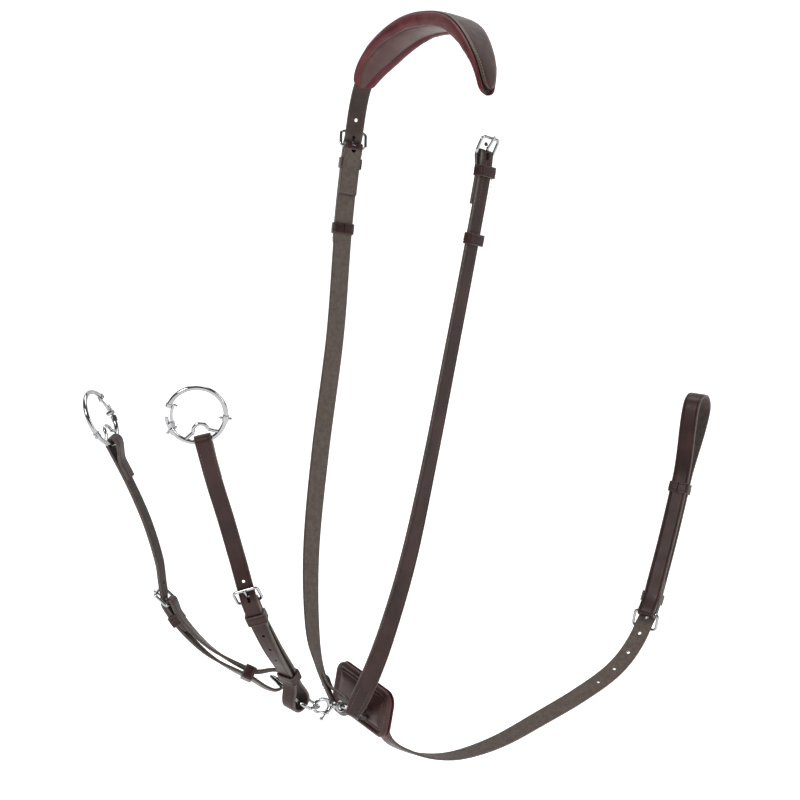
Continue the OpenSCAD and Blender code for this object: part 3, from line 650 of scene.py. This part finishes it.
def fork_strap(name, route, body):
    hw = FORK_W / 2
    at, end = route.place(ARM_PIVOT), route.s[-1]
    long = 26 * MM

    def side(s):
        return loop_half(end - s, long, FORK_LOOP_R)

    sections = (
        lane(route, 38 * MM, 2 * MM, lambda s: close_up(s, RING_FOLD_R, 22 * MM), -1, hw)
        + turn(route, 0, -RING_FOLD_R, RING_FOLD_R, -1, range(180, -1, -12), hw)
        + lane(route, 3 * MM, end - 33 * MM,
               lambda s: LAYER * smooth((s - at + 14 * MM) / (14 * MM)), 1, hw)
        + lane(route, end - 30 * MM, end - 0.5 * MM, side, 1, hw)
        + turn(route, end, 0, FORK_LOOP_R, 1, range(8, 173, 8), hw)
        + lane(route, end - 0.5 * MM, end - 30 * MM, lambda s: -side(s), -1, hw)
        + lane(route, end - 33 * MM, at + 2 * MM, lambda s: close_up(s - at, FOLD_R, 20 * MM),
               -1, hw)
        + turn(route, at, BAR_Z, FOLD_R, -1, range(180, -1, -15), hw)
        + lane(route, at + 3 * MM, at + 32 * MM, 0, 1, tip_width(at + 36 * MM, hw)))
    shapes = [hole(route, at - 22 * MM, r=1.5 * MM, depth=2.5 * MM)]
    shapes += [hole(route, at + y * MM, LAYER, 1.5 * MM, depth=2.2 * MM) for y in (38, 58, 76)]
    shapes.append(hole(route, at - 6 * MM, 2.6 * MM, 1.5 * MM, 4.5 * MM, 2.6 * MM))
    mesh = cut_holes(strap_mesh(name, sections, FORK_LOOK), shapes)
    return finish_piece(mesh, name, body, [name], 40)


fork_strap("near_fork_strap", near_arm, "near_arm")
fork_strap("far_fork_strap", far_arm, "far_arm")


# ---- keepers ----
KEEPER_LOOK = [GRAIN, EDGE, DARK_FLESH]


def keeper(name, route, s, w, low, high, body, closed=True):
    """Leather band round a strap, from z = low to z = high inside it; a fixed one is open below."""
    p, across, t, n = route.frame(s)
    half = w / 2 + 0.3 * MM + KEEPER_T / 2
    top, bottom = high + KEEPER_T / 2, low - KEEPER_T / 2
    r = 2 * MM
    corners = [(half - r, top - r, 0), (-half + r, top - r, 90), (-half + r, bottom + r, 180),
               (half - r, bottom + r, 270)]
    path = []
    if closed:
        path.append((0.5 * MM, bottom, 270))
        order = [3, 0, 1, 2]
    else:
        path.append((half, bottom + 1.2 * MM, 0))
        order = [0, 1]
    for k in order:
        x, z, a0 = corners[k]
        for a in range(a0, a0 + 91, 18):
            c, d = math.cos(math.radians(a)), math.sin(math.radians(a))
            path.append((x + r * c, z + r * d, a))
        if k == 0:
            path.append((0, top + 0.25 * MM, 90))
    path.append((-0.5 * MM, bottom, 270) if closed else (-half, bottom + 1.2 * MM, 180))
    sections = []
    for x, z, a in path:
        out = across * math.cos(math.radians(a)) + n * math.sin(math.radians(a))
        sections.append((p + across * x + n * z, t, out, KEEPER_L / 2, KEEPER_T / 2))
    mesh = strap_mesh(name, sections, KEEPER_LOOK)
    return finish_piece(mesh, name, body, [name], 40)


def keeper_pair(fixed, loose, route, pivot, y, keeper_at, w, body, slider, low, slack):
    keeper(fixed, route, route.place(pivot) + y, w, -1.5 * LAYER, LAYER + STRAP_T / 2 + 0.25 * MM,
           body, False)
    keeper(loose, route, route.place(keeper_at), w, low - STRAP_T / 2 - slack,
           LAYER + STRAP_T / 2 + slack, slider)


keeper_pair("near_fixed_keeper", "near_loose_keeper", neck, NEAR_PIVOT, -17 * MM, NEAR_KEEPER,
            STRAP_W, "harness", "near_neck_keeper", 0, 0.45 * MM)
keeper_pair("far_fixed_keeper", "far_loose_keeper", neck, FAR_PIVOT, 17 * MM, FAR_KEEPER,
            STRAP_W, "harness", "far_neck_keeper", 0, 0.45 * MM)
keeper_pair("girth_fixed_keeper", "girth_loop_keeper", girth, GIRTH_PIVOT, 17 * MM, GIRTH_KEEPER,
            STRAP_W, "girth", "girth_keeper", -LAYER, 0.45 * MM)
for side, arm in (("near", near_arm), ("far", far_arm)):
    keeper_pair(side + "_fork_fixed_keeper", side + "_fork_loose_keeper", arm, ARM_PIVOT,
                17 * MM, ARM_KEEPER, FORK_W, side + "_arm", side + "_fork_keeper", -LAYER,
                0.8 * MM)


# ---- withers pad ----
PAD_SPAN = 2.95                      # half length of the outer leather, in route points
PAD_HALF_W = 20 * MM
LINING_LIP = 3 * MM
crown_s = neck.place(CROWN)


def pad_width(s, span):
    """Half width of the pad's outer leather at a distance along the neck route."""
    d = abs(float(np.interp(s, neck.s, neck.u)) - CROWN)
    end = neck.place(CROWN + (span if s > crown_s else -span))
    x = abs(end - s)
    swell = PAD_HALF_W - 0.75 * MM * d * d
    taper = 4 * MM + 14 * MM * math.sqrt(x / (50 * MM))
    tip = math.sqrt(max(1 - max(0.0, 1 - x / (7 * MM)) ** 2, 0.0))
    return max(min(swell, taper * tip), 0.8 * MM)


def pad_stations(span, step=3 * MM):
    low, high = neck.place(CROWN - span), neck.place(CROWN + span)
    ends = [0, 0.4, 1, 2, 3.4, 5, 7]
    middle = np.linspace(low + 9 * MM, high - 9 * MM, int((high - low) / step))
    return ([low + x * MM for x in ends] + list(middle) + [high - x * MM for x in reversed(ends)])


def sweep_pad(name, stations, outline, materials):
    """Closed mesh of a pad: outline(s) gives the section's points x, z and material number."""
    bm = bmesh.new()
    uv = bm.loops.layers.uv.new("strap")
    rows = []
    for s in stations:
        p, w, _, n = neck.frame(s)
        shape = outline(s)
        wide = max(abs(x) for x, _, _ in shape)
        rows.append(([(bm.verts.new(p + w * x + n * z), x / wide) for x, z, _ in shape],
                     [m for _, _, m in shape], s))
    count = len(rows[0][0])
    for (a, kinds, sa), (b, _, sb) in zip(rows, rows[1:]):
        for k in range(count):
            j = (k + 1) % count
            corners = [(a[k], sa), (a[j], sa), (b[j], sb), (b[k], sb)]
            face = bm.faces.new([c[0][0] for c in corners])
            face.material_index = kinds[k]
            for loop, (vertex, length) in zip(face.loops, corners):
                loop[uv].uv = (vertex[1], length)
    for row in (rows[0], rows[-1]):
        bm.faces.new([v for v, _ in row[0]]).material_index = row[1][0]
    bmesh.ops.recalc_face_normals(bm, faces=bm.faces)
    mesh = bpy.data.meshes.new(name)
    bm.to_mesh(mesh)
    bm.free()
    for material in materials:
        mesh.materials.append(material)
    return mesh


PAD_Z = 4.7 * MM                     # top of the outer leather


def pad_top(x, hw):
    """Height of the outer leather, which is crowned over the strap."""
    return PAD_Z - 1.2 * MM * abs(x / hw) ** 3


def outer_outline(s):
    hw = pad_width(s, PAD_SPAN)
    f = min(1.0, hw / (8 * MM))
    half = [(x * hw, pad_top(x * hw, hw), 0) for x in (0, 0.3, 0.55, 0.75)]
    half += [(hw - 3.2 * MM * f, pad_top(hw - 3.2 * MM * f, hw), 0),
             (hw - 2.6 * MM * f, pad_top(hw - 2.6 * MM * f, hw) - 0.45 * MM * f, 0),
             (hw - 2.0 * MM * f, pad_top(hw - 2.0 * MM * f, hw) - 0.1 * MM, 0),
             (hw - 0.9 * MM * f, pad_top(hw, hw) + 0.0 * MM, 1), (hw - 0.2 * MM * f, 3.0 * MM, 1),
             (hw, 2.4 * MM, 1), (hw - 0.3 * MM * f, 1.7 * MM, 1), (hw * 0.5, 1.6 * MM, 1)]
    return half + [(0, 1.6 * MM, 1)] + [(-x, z, m) for x, z, m in reversed(half[1:])]


def lining_outline(s):
    span = PAD_SPAN + 0.1
    d = abs(float(np.interp(s, neck.s, neck.u)) - CROWN)
    hw = pad_width(s, span) + LINING_LIP * min(1.0, pad_width(s, span) / (6 * MM))
    f = min(1.0, hw / (12 * MM))
    deep = (3.6 * MM + 8.2 * MM * smooth((2.9 - d) / 2)) * (0.35 + 0.65 * f)
    roll = 8.5 * MM * f
    pucker = 0.25 * MM * math.sin(s / (6.1 * MM)) + 0.15 * MM * math.sin(s / (2.7 * MM) + 1)
    half = [(0, -1.7 * MM, 2), (hw * 0.5, -1.7 * MM, 2), (hw - 4.2 * MM * f, -1.2 * MM, 0),
            (hw - 3.2 * MM * f, 1.3 * MM * f, 0), (hw - 2.1 * MM * f, 1.7 * MM * f, 0),
            (hw - 0.9 * MM * f, 0.9 * MM * f, 0), (hw - 0.2 * MM * f, -1.2 * MM, 0),
            (hw, -0.35 * deep, 0), (hw - 0.4 * MM * f, -0.62 * deep, 0),
            (hw - 0.18 * roll, -0.86 * deep, 0), (hw - 0.42 * roll, -deep + pucker, 0),
            (hw - 0.7 * roll, -0.97 * deep + pucker, 0), (hw - 0.9 * roll, -0.86 * deep, 0),
            (hw - roll, -0.7 * deep, 0), (hw - 1.1 * roll, -0.84 * deep, 1),
            (hw - 1.35 * roll, -0.95 * deep, 1)]
    half = [(max(x, 0.0) if k else x, z, m) for k, (x, z, m) in enumerate(half)]
    left = [(-x, z, m) for x, z, m in reversed(half[1:])]
    return half + [(0, -1.0 * deep, 1)] + left


def withers_pad():
    outer = sweep_pad("withers_pad_outer", pad_stations(PAD_SPAN), outer_outline,
                      [PAD_GRAIN, EDGE])
    finish_piece(outer, "withers_pad_outer", "harness",
                           ["withers_pad_outer"], 45)
    lining = sweep_pad("withers_pad_lining", pad_stations(PAD_SPAN + 0.1), lining_outline,
                       [LINING, LINING_PANEL, DARK_FLESH])
    piece = finish_piece(lining, "withers_pad_lining", "harness",
                         ["withers_pad_lining", "withers_pad_foam"])
    inset = 2.6 * MM
    low, high = neck.place(CROWN - PAD_SPAN), neck.place(CROWN + PAD_SPAN)
    outline = []
    for s in np.linspace(low + 2.4 * MM, high - 2.4 * MM, 400):
        outline.append((s, max(pad_width(s, PAD_SPAN) - inset, 0.0)))
    outline = outline + [(s, -x) for s, x in reversed(outline)]
    points = []
    for s, x in outline + outline[:1]:
        p, w, t, n = neck.frame(s)
        points.append((p + w * x + n * (pad_top(x, pad_width(s, PAD_SPAN)) - 0.3 * MM), n))
    rows = along_points(points, 3.3 * MM)
    stitches("withers_pad_stitches", rows, "harness", TAN_THREAD, 2.5 * MM, 0.4 * MM)


def along_points(points, pitch):
    """Places of stitches at equal distances along a line of points, each with its way out."""
    line = np.array([p for p, _ in points])
    outs = np.array([n for _, n in points])
    s = np.concatenate([[0], np.cumsum(np.linalg.norm(np.diff(line, axis=0), axis=1))])
    count = int(s[-1] / pitch)
    rows = []
    for k in range(count):
        here = s[-1] * (k + 0.5) / count
        p, a, b = (np.array([np.interp(v, s, line[:, i]) for i in range(3)])
                   for v in (here, here - 0.4 * pitch, here + 0.4 * pitch))
        n = unit(np.array([np.interp(here, s, outs[:, i]) for i in range(3)]))
        t = unit(b - a)
        rows.append((p, t, np.cross(n, t), n))
    return rows


withers_pad()


# ---- chest pad ----
CHEST_AT = np.array([-10, -97, -681]) * MM
CHEST_ROLL = math.radians(16)
CHEST_W, CHEST_H = 100 * MM, 52 * MM
chest_x = np.array([math.cos(CHEST_ROLL), 0, -math.sin(CHEST_ROLL)])
chest_y = np.array([math.sin(CHEST_ROLL), 0, math.cos(CHEST_ROLL)])
chest_z = np.array([0, -1.0, 0])


def rounded_outline(w, h, r, count=24):
    """Points of a rounded rectangle, and the way out at each."""
    out = []
    for k, (x, y) in enumerate(((1, 1), (-1, 1), (-1, -1), (1, -1))):
        for a in np.linspace(k * 90, k * 90 + 90, count // 4 + 1):
            c, d = math.cos(math.radians(a)), math.sin(math.radians(a))
            out.append((x * (w / 2 - r) + r * c, y * (h / 2 - r) + r * d, c, d))
        nx, ny = ((-1, 1), (-1, -1), (1, -1), (1, 1))[k]
        here, there = out[-1], (nx * (w / 2 - r), ny * (h / 2 - r))
        steps = 14 if k % 2 == 0 else 7
        end = (there[0] + r * here[2], there[1] + r * here[3])
        for f in np.linspace(0, 1, steps + 2)[1:-1]:
            out.append((here[0] + (end[0] - here[0]) * f, here[1] + (end[1] - here[1]) * f,
                        here[2], here[3]))
    return out


def chest_point(x, y, z):
    return CHEST_AT + chest_x * x + chest_y * y + chest_z * z


def chest_pad_piece(name, w, h, r, profile, materials, replaced):
    """Pad built from rings; profile gives each ring's distance in from the edge, z and material."""
    bm = bmesh.new()
    uv = bm.loops.layers.uv.new("strap")
    rings = []
    for inset, z, _ in profile:
        k = max(r - inset, 1.5 * MM)
        shape = rounded_outline(w - 2 * inset, h - 2 * inset, k)
        rings.append([bm.verts.new(chest_point(x, y, z)) for x, y, _, _ in shape])
    count = len(rings[0])
    for i in range(len(rings) - 1):
        for k in range(count):
            j = (k + 1) % count
            face = bm.faces.new([rings[i][k], rings[i][j], rings[i + 1][j], rings[i + 1][k]])
            face.material_index = profile[i][2]
            for loop in face.loops:
                loop[uv].uv = (0.3, 0.0)
    for ring, flip in ((rings[0], True), (rings[-1], False)):
        face = bm.faces.new(ring[::-1] if flip else ring)
        face.material_index = profile[0][2] if flip else profile[-1][2]
    bmesh.ops.recalc_face_normals(bm, faces=bm.faces)
    mesh = bpy.data.meshes.new(name)
    bm.to_mesh(mesh)
    bm.free()
    for material in materials:
        mesh.materials.append(material)
    piece = finish_piece(mesh, name, "harness", replaced)
    return piece


def mm_profile(rows):
    return [(d * MM, z * MM, m) for d, z, m in rows]


def chest_pad():
    front = mm_profile([(14, -6.4, 0), (4, -6.4, 0), (1.4, -6.2, 0), (0.4, -5.2, 0), (0, -4, 0),
                        (0.3, -2.6, 0), (1.1, -1.3, 0), (2.4, -0.5, 0), (3.8, -0.4, 0),
                        (5.0, -0.9, 0), (5.7, -1.9, 0), (6.3, -2.2, 0), (6.9, -1.8, 0),
                        (7.8, -1.2, 0), (8.6, -1.3, 0), (9.2, -1.7, 0), (9.8, -1.3, 0),
                        (12, -0.5, 0), (15, -0.15, 0), (18, 0, 0)])
    back = mm_profile([(16, -9.2, 0), (8, -9.1, 0), (4, -8.9, 0), (1.6, -8.6, 0), (0.4, -8.1, 0),
                       (0, -7.6, 0), (0.5, -7.0, 0), (1.6, -6.7, 0), (5, -6.6, 0), (14, -6.6, 0)])
    chest_pad_piece("chest_pad_outer", CHEST_W - 3 * MM, CHEST_H - 3 * MM, 12 * MM, front,
                    [PAD_GRAIN], ["chest_pad_outer", "chest_pad_foam"])
    chest_pad_piece("chest_pad_lining", CHEST_W - 2 * MM, CHEST_H - 2 * MM, 13 * MM, back, [LINING],
                    ["chest_pad_lining"])
    for name, inset, z in (("chest_pad_stitches", 6.3 * MM, -1.9 * MM),
                           ("chest_pad_inner_stitches", 9.2 * MM, -1.45 * MM)):
        k = max(12 * MM - inset, 1.5 * MM)
        shape = rounded_outline(CHEST_W - 3 * MM - 2 * inset, CHEST_H - 3 * MM - 2 * inset, k)
        points = [(chest_point(x, y, z), chest_z) for x, y, _, _ in shape + shape[:1]]
        stitches(name, along_points(points, 3.3 * MM), "harness", BROWN_THREAD,
                 2.4 * MM, 0.38 * MM)


chest_pad()


BREAST_AT = np.array([0, -113, -687]) * MM
BREAST_TILT = math.radians(-15)
BREAST_RING_R = 13 * MM


def ring_tab():
    """Tab stitched to the chest pad, turned round the back of the breast ring."""
    back = BREAST_AT + BREAST_RING_R * np.array([0, math.cos(BREAST_TILT), math.sin(BREAST_TILT)])
    half_w, half_t = 6 * MM, 0.9 * MM
    x, y, z = np.array([1.0, 0, 0]), np.array([0, -1.0, 0]), np.array([0, 0, 1.0])
    r = 4.8 * MM
    flat = CHEST_AT[1] - 1.2 * MM
    sections = [(np.array([0, flat, back[2] - d * MM]), x, y, half_w, half_t) for d in (10, 6)]
    for a in range(-20, 261, 20):
        c, d = math.cos(math.radians(a)), math.sin(math.radians(a))
        out = -y * c + z * d
        sections.append((back + out * r, x, out, half_w, half_t))
    mesh = strap_mesh("chest_pad_tab", sections, KEEPER_LOOK)
    finish_piece(mesh, "chest_pad_tab", "harness", ["chest_pad_tab"], 40)


ring_tab()


# ---- snap ----
SNAP_AT = np.array([0, -125.6, -683.6]) * MM
SNAP_RISE = math.radians(10)
snap_x = np.array([0, -math.cos(SNAP_RISE), math.sin(SNAP_RISE)])
snap_y = np.array([1.0, 0, 0])
snap_z = np.array([0, math.sin(SNAP_RISE), math.cos(SNAP_RISE)])


def add_tube(bm, points, flat=1.0, sides=18, steps=6):
    """Adds a smooth tapered tube in the snap's plane; each point is x, z and radius in millimetres."""
    route = np.array(points, float) * MM
    line = []
    for i in range(len(route) - 1):
        a, b, c, d = (route[min(max(k, 0), len(route) - 1)] for k in range(i - 1, i + 3))
        for t in np.linspace(0, 1, steps, endpoint=False):
            line.append(0.5 * (2 * b + (c - a) * t + (2 * a - 5 * b + 4 * c - d) * t * t
                               + (3 * b - a - 3 * c + d) * t ** 3))
    line.append(route[-1])
    rings = []
    for k, (x, z, r) in enumerate(line):
        before, after = line[max(k - 1, 0)], line[min(k + 1, len(line) - 1)]
        way = unit(snap_x * (after[0] - before[0]) + snap_z * (after[1] - before[1]))
        across = np.cross(way, snap_y)
        p = SNAP_AT + snap_x * x + snap_z * z
        rings.append([bm.verts.new(p + across * (r * math.cos(a)) + snap_y * (flat * r * math.sin(a)))
                      for a in np.linspace(0, 2 * math.pi, sides, endpoint=False)])
    for a, b in zip(rings, rings[1:]):
        for k in range(sides):
            j = (k + 1) % sides
            bm.faces.new([a[k], a[j], b[j], b[k]])
    bm.faces.new(rings[0][::-1])
    bm.faces.new(rings[-1])


def add_ball(bm, x, z, r):
    made = bmesh.ops.create_uvsphere(bm, u_segments=20, v_segments=12, radius=r * MM)
    centre = SNAP_AT + (snap_x * x + snap_z * z) * MM
    bmesh.ops.translate(bm, verts=made["verts"], vec=Vector(centre))


def snap_piece(name, body, replaced, tubes, balls):
    bm = bmesh.new()
    for points, flat in tubes:
        add_tube(bm, points, flat)
    for ball in balls:
        add_ball(bm, *ball)
    bmesh.ops.recalc_face_normals(bm, faces=bm.faces)
    mesh = bpy.data.meshes.new(name)
    bm.to_mesh(mesh)
    bm.free()
    mesh.materials.append(STEEL)
    finish_piece(mesh, name, body, replaced, 50)


snap_piece("snap_body", "snap", ["snap_body"],
           [([(7.4, 0, 2.2), (7.7, 0, 3.3), (8.6, 0, 3.8), (9.8, 0, 3.3), (11, 0, 3.0),
              (12.6, 0.3, 3.4), (14, 1.4, 3.2), (16, 3.6, 2.4), (19, 4.9, 1.9), (22.5, 5.0, 1.9),
              (26, 4.0, 2.0), (29.4, 1.8, 2.0), (31.4, -1.6, 1.9), (31.2, -5.2, 1.8),
              (28.8, -7.7, 1.7), (26.6, -8.2, 1.5)], 0.95),
            ([(12.4, -0.5, 2.6), (13.2, -2.8, 2.5), (14.4, -5.4, 2.3), (16, -7.4, 2.1),
              (17.2, -8.2, 1.9)], 1.35)], [])
snap_piece("snap_gate", "snap_gate", ["snap_gate"],
           [([(16.2, -8.0, 1.2), (18, -8.0, 1.35), (22, -8.0, 1.3), (25.4, -8.0, 1.2)], 1.0),
            ([(17.6, -8.6, 1.2), (18.0, -10.4, 1.1), (19.0, -12.2, 0.95), (20.6, -13.6, 0.9)], 1.0)],
           [(21.0, -14.3, 2.1)])


# ---- stitching on the straps ----
def strap_stitches(name, route, s0, s1, w, z, body, side=1, inset=2.3 * MM):
    rows = []
    for x in (-1, 1):
        rows += stitch_row(route, s0, s1, x * (w / 2 - inset), z, side, 3.2 * MM)
    stitches(name, rows, body, BROWN_THREAD, 2.3 * MM, 0.36 * MM)


GRAIN_Z = STRAP_T / 2 - 0.22 * MM
for side, arm in (("near", near_arm), ("far", far_arm)):
    strap_stitches(side + "_ring_end_stitches", arm, 9 * MM, 36 * MM, FORK_W, GRAIN_Z,
                   side + "_arm")


# ---- materials of the CAD nodes ----
LOOK_OF_SLOT = {"leather": GRAIN, "burgundy_lining": LINING, "foam": DARK_FLESH, "steel": STEEL,
                "spring_steel": DULL_STEEL}
for part in frame["record"]["subparts"]:
    node = frame["nodes"][part["node"]]
    node.data.materials.clear()
    node.data.materials.append(LOOK_OF_SLOT[part["material_slot"]])

# ---- floor, light and camera ----
LOOK_AT = Vector((0, -0.054, -0.382))
CAMERA_AZIMUTH, CAMERA_HEIGHT = math.radians(55), math.radians(3)
CAMERA_FAR = 2.8
FLOOR_Z = -0.82
FLOOR_GLOW = 0.62
ROOM_LIGHT = 0.14


def backdrop():
    """Floor that curves up into a wall behind the object."""
    mesh = bpy.data.meshes.new("floor")
    line = [(-6, 0), (0.5, 0)]
    line += [(0.5 + 2 * math.sin(a), 2 - 2 * math.cos(a))
             for a in np.radians(np.arange(6, 91, 6))]
    line.append((2.5, 6))
    turned = Matrix.Rotation(CAMERA_AZIMUTH, 4, "Z")
    points = []
    for y, z in line:
        for x in (-8, 8):
            points.append(turned @ Vector((x, y + LOOK_AT.y + 1.2, z + FLOOR_Z)))
    mesh.from_pydata(points, [], [(2 * k, 2 * k + 1, 2 * k + 3, 2 * k + 2)
                                  for k in range(len(line) - 1)])
    for polygon in mesh.polygons:
        polygon.use_smooth = True
    m = Nodes("pale_floor")
    m.set(colour=(0.93, 0.93, 0.93), rough=0.9, specular=0.1)
    m.shader.inputs["Emission Color"].default_value = (1, 1, 1, 1)
    m.shader.inputs["Emission Strength"].default_value = FLOOR_GLOW
    mesh.materials.append(m.material)
    floor = bpy.data.objects.new("floor", mesh)
    bpy.context.scene.collection.objects.link(floor)


def area_light(name, place, size, power):
    light = bpy.data.lights.new(name, "AREA")
    light.shape = "RECTANGLE"
    light.size, light.size_y = size
    light.energy = power
    lamp = bpy.data.objects.new(name, light)
    lamp.location = place
    lamp.rotation_euler = (LOOK_AT - lamp.location).to_track_quat("-Z", "Y").to_euler()
    bpy.context.scene.collection.objects.link(lamp)


def camera_way(right, up, back):
    """Place given to the right of, above and in front of the middle of the object."""
    a = CAMERA_AZIMUTH
    return LOOK_AT + Vector((math.cos(a) * right + math.sin(a) * back,
                             math.sin(a) * right - math.cos(a) * back, up))


backdrop()
area_light("key", camera_way(-1.5, 1.5, 2.0), (1.0, 1.0), 46)
area_light("fill", camera_way(2.3, 0.7, 1.0), (0.5, 1.6), 26)
area_light("top", camera_way(0.1, 2.4, -0.2), (2.2, 1.0), 40)

world = bpy.data.worlds.new("studio")
world.use_nodes = True
world.node_tree.nodes["Background"].inputs[0].default_value = (1, 1, 1, 1)
world.node_tree.nodes["Background"].inputs[1].default_value = ROOM_LIGHT
bpy.context.scene.world = world
bpy.context.scene.view_settings.view_transform = "Standard"

lens = bpy.data.cameras.new("camera")
lens.lens = 126
lens.sensor_width = 36
camera = bpy.data.objects.new("camera", lens)
away = Vector((math.sin(CAMERA_AZIMUTH) * math.cos(CAMERA_HEIGHT),
               -math.cos(CAMERA_AZIMUTH) * math.cos(CAMERA_HEIGHT), math.sin(CAMERA_HEIGHT)))
camera.location = LOOK_AT + away * CAMERA_FAR
camera.rotation_euler = (-away).to_track_quat("-Z", "Y").to_euler()
bpy.context.scene.collection.objects.link(camera)
bpy.context.scene.camera = camera
